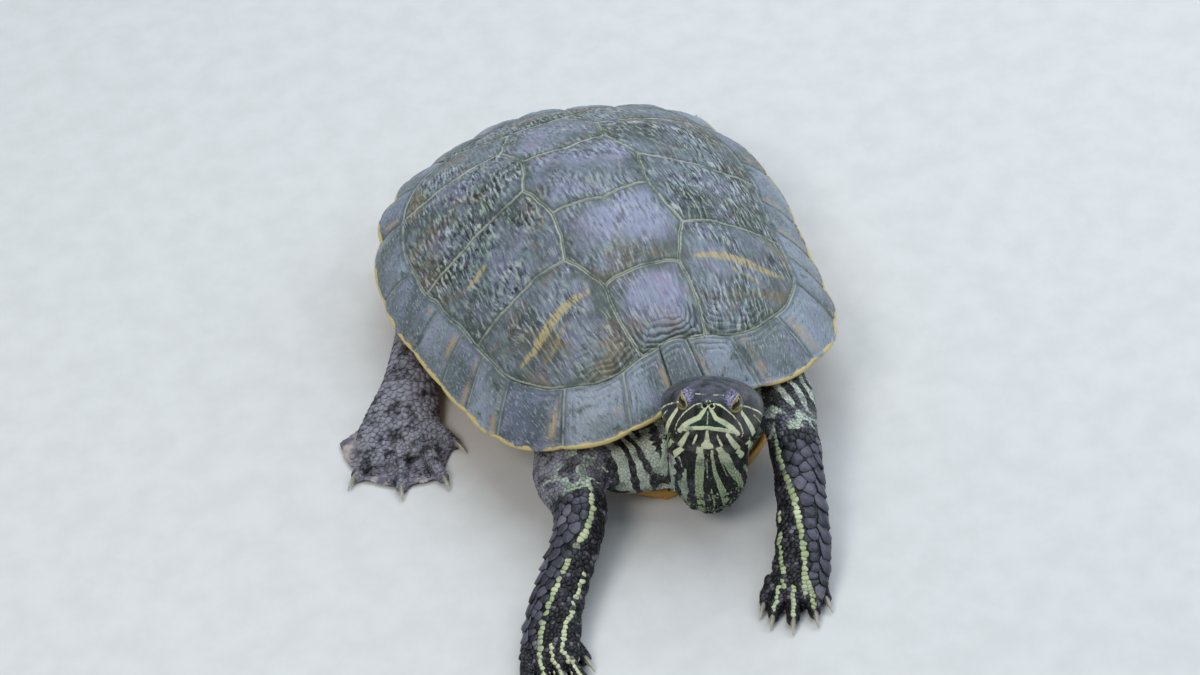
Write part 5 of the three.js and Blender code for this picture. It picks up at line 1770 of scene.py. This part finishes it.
def add_bake_map(piece, verts, owner, place, along, across, unwrapped):
    """The OFBake map: every scale a small patch at its root's place on the skin unrolled."""
    rel = verts - place[owner]
    flat = np.column_stack([(rel * along[owner]).sum(1), (rel * across[owner]).sum(1)])
    size = np.zeros(len(place))
    np.maximum.at(size, owner, np.abs(flat).max(1))
    uv = unwrapped[owner] + BAKE_PATCH / 2 * flat / np.maximum(size[owner], 1e-6)[:, None]
    layer = piece.data.uv_layers.new(name="OFBake")
    corners = np.empty(len(piece.data.loops), np.int32)
    piece.data.loops.foreach_get("vertex_index", corners)
    layer.data.foreach_set("uv", uv[corners].astype(np.float32).ravel())


def body_limb(name):
    """The limb that a coat piece of the body lies round."""
    return tail if name == "rear" else neck


def lie_of(p, name):
    """The way that scales lie: down the leg or toe that is nearest, or back along neck and tail."""
    limbs = leg_and_toes(name) if name in LEGS else [body_limb(name)]
    best = np.full(len(p), np.inf)
    way = np.zeros((len(p), 3))
    for limb in limbs:
        gap = limb.field(p)
        which, _ = limb.nearest(p)
        nearer = gap < best
        best[nearer], way[nearer] = gap[nearer], limb.along[which[nearer]]
    if name.startswith("front"):
        far = step(3, 12, best)[:, None]
        way = -way * (1 - far) + far * np.array((0, 0.5, -0.8))
    return way


def tangent(way, normal):
    """The ways laid flat on the surface; where nothing is left of one, any way on the surface."""
    way = way - (way * normal).sum(1, keepdims=True) * normal
    spare = unit(np.cross(normal, (0.3, 0.5, 0.81)))
    return np.where(np.linalg.norm(way, axis=1, keepdims=True) > 1e-3, unit(way), spare)


def leg_spacing(name, p):
    """How far apart the scales of a leg sit, in mm."""
    angle, arc = leg_angle(name, p)
    if name.startswith("foreleg"):
        arcs, degrees = np.array(LEG_MAIN, float).T
        past_stripe = angle - np.interp(arc, arcs, degrees)
        outer = step(4, 14, past_stripe) * step(178, 165, angle)
        big = np.interp(arc, (52, 62, 84, 100, 116, 134), (1.6, 4.2, 5.2, 4.4, 3.5, 2.4))
        small = np.interp(arc, (50, 64, 100, 134), (1.5, 2.2, 2.1, 1.7))
        size = small + (big - small) * outer
    else:
        size = np.interp(arc, (45, 70, 110, 150), (1.6, 2.7, 2.6, 2.1))
    on_toe = np.full(len(p), 9.0)
    for number in range(len(LEGS[name]["toes"])):
        toe = toes[name, number]
        near = np.all((p > toe.low) & (p < toe.high), axis=1)
        on_toe[near] = np.minimum(on_toe[near], toe.field(p[near]))
    return np.where(on_toe < 1.0, np.minimum(size, 1.75), size)


def spacing(name, p):
    """How far apart the scales of a coat piece sit, in mm."""
    return leg_spacing(name, p) if name in LEGS else np.full(len(p), TRUNK_SPACING[name])


def leg_beads(ground, name):
    """Roots and sizes of a leg's scales that stand in rows, and how many are plates of its edge."""
    rows = []
    rng = np.random.default_rng(len(name) + 90)
    for line, widths in LEG_LINES[name]:
        gap = 1.75 * float(np.max(widths)) + 0.2
        run = np.concatenate([[0], np.cumsum(np.linalg.norm(np.diff(line, axis=0), axis=1))])
        at = np.arange(gap / 2, run[-1], gap)
        at = at + rng.uniform(-0.22, 0.22, len(at)) * gap
        stray = rng.uniform(-0.4, 0.4, (len(at), 3))
        rows += [(*(np.interp(a, run, line[:, i]) + stray[k, i] for i in range(3)),
                  gap * rng.uniform(0.85, 1.3)) for k, a in enumerate(at)]
    plates = 0
    if name.startswith("foreleg"):
        arcs = np.arange(PLATES_FROM, PLATES_TO, PLATE_LENGTH)
        sizes = np.interp(arcs, (PLATES_FROM, 80, 112, PLATES_TO), (5.0, 7.4, 7.4, 5.4))
        spots = [leg_point(name, arc, LEG_PLATES) for arc in arcs]
        rows = [(*spot, size) for spot, size in zip(spots, sizes)] + rows
        plates = len(arcs)
    rows = np.array(rows)
    rows[:, :3], _ = ground.drop(rows[:, :3])
    keep = spread(rows[:, :3], rows[:, 3] * 0.8, plates)
    return rows[keep], plates


def scale_shapes(name, sizes, plates, rng):
    """For each scale of a coat piece: thickness, tilt and how far its free edge is drawn to a point."""
    least, more = LEG_THICKNESS if name in LEGS else TRUNK_THICKNESS
    thick = (least + more * sizes) * rng.uniform(0.85, 1.15, len(sizes))
    leg_tilt = np.where(sizes > BIG_SCALE, BIG_TILT, SMALL_TILT)
    tilt = leg_tilt if name in LEGS else np.full(len(sizes), TRUNK_TILT)
    point = np.zeros(len(sizes))
    tilt[:plates], point[:plates] = PLATE_TILT, PLATE_POINT
    return thick, tilt, point


def build_scales(ground, name, chosen, look, seed, fixed=None, plates=0):
    """One coat piece: scales over the chosen part of the skin, marked as the skin under them is."""
    place, normal, sizes, near = scatter(ground, name, chosen, seed, fixed)
    along = tangent(lie_of(place, name), normal)
    rng = np.random.default_rng(seed + 1)
    shapes = scale_shapes(name, sizes, plates, rng)
    sides = 12 if name.startswith("foreleg") else 10 if name in LEGS else 8
    verts, faces, owner, rim = scale_mesh(ground, place, normal, along, sizes, near, sides, *shapes)
    verts[:, 2] = np.maximum(verts[:, 2], 0)
    marks = {key: value[owner] for key, value in markings(place, normal).items()}
    soft = marks["lower"] < 0.5
    marks["pale"][soft] = markings(verts[soft], normal[owner[soft]])["pale"]
    marks["pale"] = marks["pale"] + np.where(sizes > 2.8, -0.6, 0)[owner]
    piece = mesh_piece(f"scales_{name}", verts, faces, look, "skin", web=np.zeros(len(verts)), rim=rim,
                       tone=rng.random(len(place))[owner], size=sizes[owner], **marks)
    add_bake_map(piece, verts, owner, place, along, np.cross(normal, along), unrolled(name, place))
    print("scales", name, len(place), "scales", 2 * len(faces[0]) + len(faces[1]), "triangles")


def unrolled(name, p):
    """The place of each point on a map of the skin: a leg unrolled, or the body with neck or tail."""
    return leg_unwrap(name, p) if name in LEGS else trunk_unwrap(p, body_limb(name))


def leg_unwrap(name, p):
    """A leg's map: down the leg across, round it upward."""
    angle, arc = leg_angle(name, p)
    return np.column_stack([np.clip(arc / (legs[name].arc[-1] + 25), 0, 1), (angle + 180) / 360])


def trunk_unwrap(p, limb):
    """The neck or tail unrolled in the map's left half, the trunk behind it in the right half."""
    angle, arc = limb.angle(p)
    on_limb = limb.field(p) < 4
    rolled = np.column_stack([0.48 * np.clip(arc / (limb.arc[-1] + 12), 0, 1), (angle + 180) / 360])
    across = 0.52 + 0.46 * np.clip((p[:, 0] + 110) / 220, 0, 1)
    return np.where(on_limb[:, None], rolled, np.column_stack([across, np.clip(p[:, 2] / 60, 0, 1)]))


def in_sight(p):
    """True for skin outside the shell, or just within its openings."""
    angle = np.arctan2(p[:, 0], -p[:, 1])
    radius = np.hypot(p[:, 0], p[:, 1])
    outside = radius > around(RIM_RADIUS, angle) - 14
    below = p[:, 2] < around(RIM_HEIGHT, angle) - 3
    deep = radius < around(FLESH_RADIUS, angle) - 12
    return (outside | below) & ~(deep & (p[:, 2] < BELLY + 1.5)) & ~(deep & (p[:, 2] > 22))


# The webs are bare of scales from about this share of a web on.
BARE_WEB = 0.35


def build_coat(skin_verts, faces, normal):
    """The seven coat pieces: one for each leg, two for neck and shoulders, one for the rear."""
    ground = Ground(skin_verts, faces, normal)
    which, gap = nearest_leg(ground.middle)
    on_leg = (gap < 2.5) | ((gap < 5) & (ground.middle[:, 2] < 4))
    bare_from = np.maximum(BARE_WEB + 0.35 * noise(ground.middle, 5, 97), 0.05)
    shown = in_sight(ground.middle) & (head_share(ground.middle) < 0.35)
    shown &= web_share(ground.middle) < bare_from
    look = skin_look("turtle_scales", True)
    for i, name in enumerate(LEGS):
        chosen = shown & on_leg & (which == i)
        build_scales(ground, name, chosen, look, 200 + 10 * i, *leg_beads(ground, name))
    x, y, _ = ground.middle.T
    halves = ((y < 0) & (x > NECK_MIDDLE), (y < 0) & (x <= NECK_MIDDLE), y > 0)
    for i, (name, half) in enumerate(zip(TRUNK_SPACING, halves)):
        build_scales(ground, name, shown & ~on_leg & half, look, 300 + 10 * i)


# ------------------------------------------------------------------ eyes
CORNEA = 0.35
EYE_GAP = 0.32
EYE_RINGS, EYE_SIDES = 48, 72


def eye_look():
    """A golden iris with a dark bar along the lids, a black pupil and a wet cornea."""
    look = Look("turtle_eye", 0.15, 0.25, coat=0.3, coat_roughness=0.03)
    along, across, out = (look.attribute(name) for name in ("along", "across", "out"))
    fleck = look.noise(look.place(), 1500, 4, 0.65)
    wander = look.swing(fleck, 14.0)
    gold = look.between(fleck, 0.32, 0.68, (104, 94, 44), (196, 184, 116))
    color = look.blend(look.ramp(look.add(out, wander), 62, 85), gold, srgb(44, 38, 24))
    ring = look.times(look.ramp(out, 16.5, 18.5, 0, 1), look.ramp(out, 23.5, 20, 0, 0.75))
    color = look.blend(ring, color, srgb(216, 202, 128))
    bar = look.add(look.math("ABSOLUTE", across), look.times(wander, 0.5))
    color = look.layer(color, bar, 15.5, 12, 0.97, 10, 9, 8)
    color = look.blend(look.ramp(out, 17, 15.5), color, (0.003, 0.003, 0.003))
    return look.finish(color)


def build_eye(word, side, look):
    """An eyeball with its rings about the gaze; `side` is 1 for the turtle's left eye."""
    out = np.pi * np.arange(1, EYE_RINGS) / EYE_RINGS
    turn_by = 2 * np.pi * np.arange(EYE_SIDES) / EYE_SIDES
    o, t = (a.ravel() for a in np.meshgrid(out, turn_by, indexing="ij"))
    o, t = np.append(o, [0, np.pi]), np.append(t, [0, 0])
    way = (np.cos(o)[:, None] * GAZE + np.sin(o)[:, None]
           * (np.cos(t)[:, None] * SLIT + np.sin(t)[:, None] * LID_UP))
    radius = EYE_RADIUS - EYE_GAP + CORNEA * step(np.radians(50), 0, o)
    q = (EYE + way * radius[:, None]) * (side, 1, 1)
    faces = tube_faces(EYE_RINGS - 1, EYE_SIDES)
    mesh_piece(f"eye_{word}", from_head(q), turned_over(faces) if side > 0 else faces, look, "eye",
               [f"eye_{word}"], along=np.degrees(np.arctan2(way @ SLIT, way @ GAZE)),
               across=np.degrees(np.arcsin(np.clip(way @ LID_UP, -1, 1))), out=np.degrees(o))


# ------------------------------------------------------------------ claws
CLAW_BASE = 1.75
CLAW_SIDES = 18
# Along a claw: share of its length, height over the toe's tip, half thickness as a share of the base.
CLAW = ((-0.22, 0.3, 0.8), (0.06, 0.55, 0.98), (0.36, 0.5, 0.76), (0.66, -0.1, 0.5), (0.87, -1.0, 0.27),
        (1.0, -1.85, 0.07))


def claw_look():
    """Claw horn: grey at the root, pale at the tip, with streaks along it and grime."""
    look = Look("turtle_claw", 0.32, 0.5, coat=0.3, coat_roughness=0.2)
    out = look.attribute("out")
    streak = look.noise(look.scaled(look.attribute("flow", vector=True), 0.3, 1.6, 1.6), 1.0, 3)
    grime = look.noise(look.place(), 420, 3)
    color = look.between(out, 0.1, 0.8, (98, 94, 82), (200, 196, 174))
    color = look.layer(color, streak, 0.45, 0.65, 0.6, 70, 64, 54)
    color = look.layer(color, grime, 0.5, 0.7, 0.4, 120, 118, 100)
    return look.finish(color, look.bump(streak, 0.12, 0.6))


def build_claw(label, knuckle, tip, length, look):
    """A curved claw that grows out of a toe's tip, ridged above and flatter below."""
    knuckle, tip = np.array(knuckle, float), np.array(tip, float)
    along = unit((tip - knuckle) * (1, 1, 0))
    across = np.array((-along[1], along[0], 0))
    stops = spline([(*(tip + along * share * length + (0, 0, lift)), half * CLAW_BASE)
                    for share, lift, half in CLAW], 6)
    centre, half = stops[:, :3], stops[:, 3]
    turn_by = 2 * np.pi * np.arange(CLAW_SIDES) / CLAW_SIDES
    run = np.gradient(centre, axis=0)
    over = unit(np.cross(run, across))
    over *= np.sign(over[:, 2:])
    ridge = 1 + 0.1 * np.maximum(np.sin(turn_by), 0) ** 4 - 0.12 * np.maximum(-np.sin(turn_by), 0) ** 2
    ring = (centre[:, None] + half[:, None, None] * (
        0.84 * np.cos(turn_by)[:, None] * across + (ridge * np.sin(turn_by))[:, None] * over[:, None]))
    verts = np.vstack([ring.reshape(-1, 3), centre[0], centre[-1] + run[-1] * 0.3])
    verts[:, 2] = np.maximum(verts[:, 2], 0)
    out = np.append(np.repeat(np.linspace(0, 1, len(centre)), CLAW_SIDES), [0, 1])
    angle = padded(np.tile(turn_by, len(centre)), 2)
    flow = np.column_stack([out * length, np.cos(angle) * 3, np.sin(angle) * 3])
    mesh_piece(label, verts, tube_faces(len(centre), CLAW_SIDES, inward=True), look, "claw_horn", [label],
               out=out, flow=flow)


def build_claws():
    """One claw at the tip of each toe."""
    look = claw_look()
    for name, leg in LEGS.items():
        for number, (knuckle, tip) in enumerate(leg["toes"]):
            build_claw(f"{name}_claw_{number + 1}", knuckle, tip, leg["claw"], look)


# ------------------------------------------------------------------ camera, light and floor
# Where the photo was taken from, in mm, how the camera was turned, and its lens in mm, from a fit of
# seams, rim and feet to the photo.
CAMERA_PLACE = (-257.63, -890.13, 836.64)
CAMERA_RIGHT = (0.92776186, -0.35895336, -0.10203143)
CAMERA_UP = (0.31410425, 0.60352867, 0.73286538)
CAMERA_BACK = (-0.20148559, -0.71197305, 0.67267966)
CAMERA_LENS = 77.55


def build_camera():
    """The camera of the photo."""
    data = bpy.data.cameras.new("camera")
    data.lens = CAMERA_LENS
    data.sensor_width = 36
    camera = bpy.data.objects.new("camera", data)
    rows = Matrix((CAMERA_RIGHT, CAMERA_UP, CAMERA_BACK)).transposed().to_4x4()
    camera.matrix_world = Matrix.Translation(Vector(CAMERA_PLACE) * MM) @ rows
    bpy.context.scene.collection.objects.link(camera)
    bpy.context.scene.camera = camera


def area_light(name, place, target, size, watts, color):
    """A round lamp that shines at a target."""
    data = bpy.data.lights.new(name, "AREA")
    data.shape = "DISK"
    data.size = size
    data.energy = watts
    data.color = color
    light = bpy.data.objects.new(name, data)
    light.location = place
    aim = Vector(target) - Vector(place)
    light.rotation_euler = aim.to_track_quat("-Z", "Y").to_euler()
    bpy.context.scene.collection.objects.link(light)


# Each lamp: name, place, the place it shines at, size in metres, watts, colour.
LAMPS = (
    ("sky", (0.45, 0.6, 1.65), (0, 0, 0.05), 1.8, 21, (0.84, 0.94, 1.0)),
    ("key", (-0.9, -0.6, 1.3), (0, 0, 0.05), 0.7, 9, (1.0, 0.97, 0.92)),
    ("fill", (1.2, -0.3, 1.0), (0, -0.05, 0.05), 1.0, 7.5, (0.78, 0.87, 1.0)),
)
SKY_COLOR, SKY_STRENGTH = (0.80, 0.88, 1.0, 1), 0.4
FLOOR_HALF, FLOOR_DROP = 4.0, 0.0002


def build_floor():
    """The plain floor, just below the turtle's feet."""
    look = Look("floor", 0.8, 0.2)
    grain = look.noise(look.place(), 60, 3)
    look.finish(look.blend(look.ramp(grain, 0.3, 0.7), (0.62, 0.615, 0.6), (0.66, 0.655, 0.64)))
    mesh = bpy.data.meshes.new("floor")
    corners = [(x * FLOOR_HALF, y * FLOOR_HALF, 0) for x, y in ((-1, -1), (1, -1), (1, 1), (-1, 1))]
    mesh.from_pydata(corners, [], [(0, 1, 2, 3)])
    mesh.materials.append(look.material)
    floor = bpy.data.objects.new("floor", mesh)
    floor.location.z = -FLOOR_DROP
    bpy.context.scene.collection.objects.link(floor)


def build_stage():
    """Sky light, lamps and floor."""
    world = bpy.data.worlds.new("studio")
    bpy.context.scene.world = world
    world.use_nodes = True
    world.node_tree.nodes["Background"].inputs[0].default_value = SKY_COLOR
    world.node_tree.nodes["Background"].inputs[1].default_value = SKY_STRENGTH
    bpy.context.scene.view_settings.view_transform = "Standard"
    for lamp in LAMPS:
        area_light(*lamp)
    build_floor()


# ------------------------------------------------------------------ build
build_camera()
build_stage()
build_scutes()
build_rim()
build_plastron()
build_coat(*build_skin())
eye_material = eye_look()
build_eye("left", 1, eye_material)
build_eye("right", -1, eye_material)
build_claws()

bpy.context.view_layer.update()
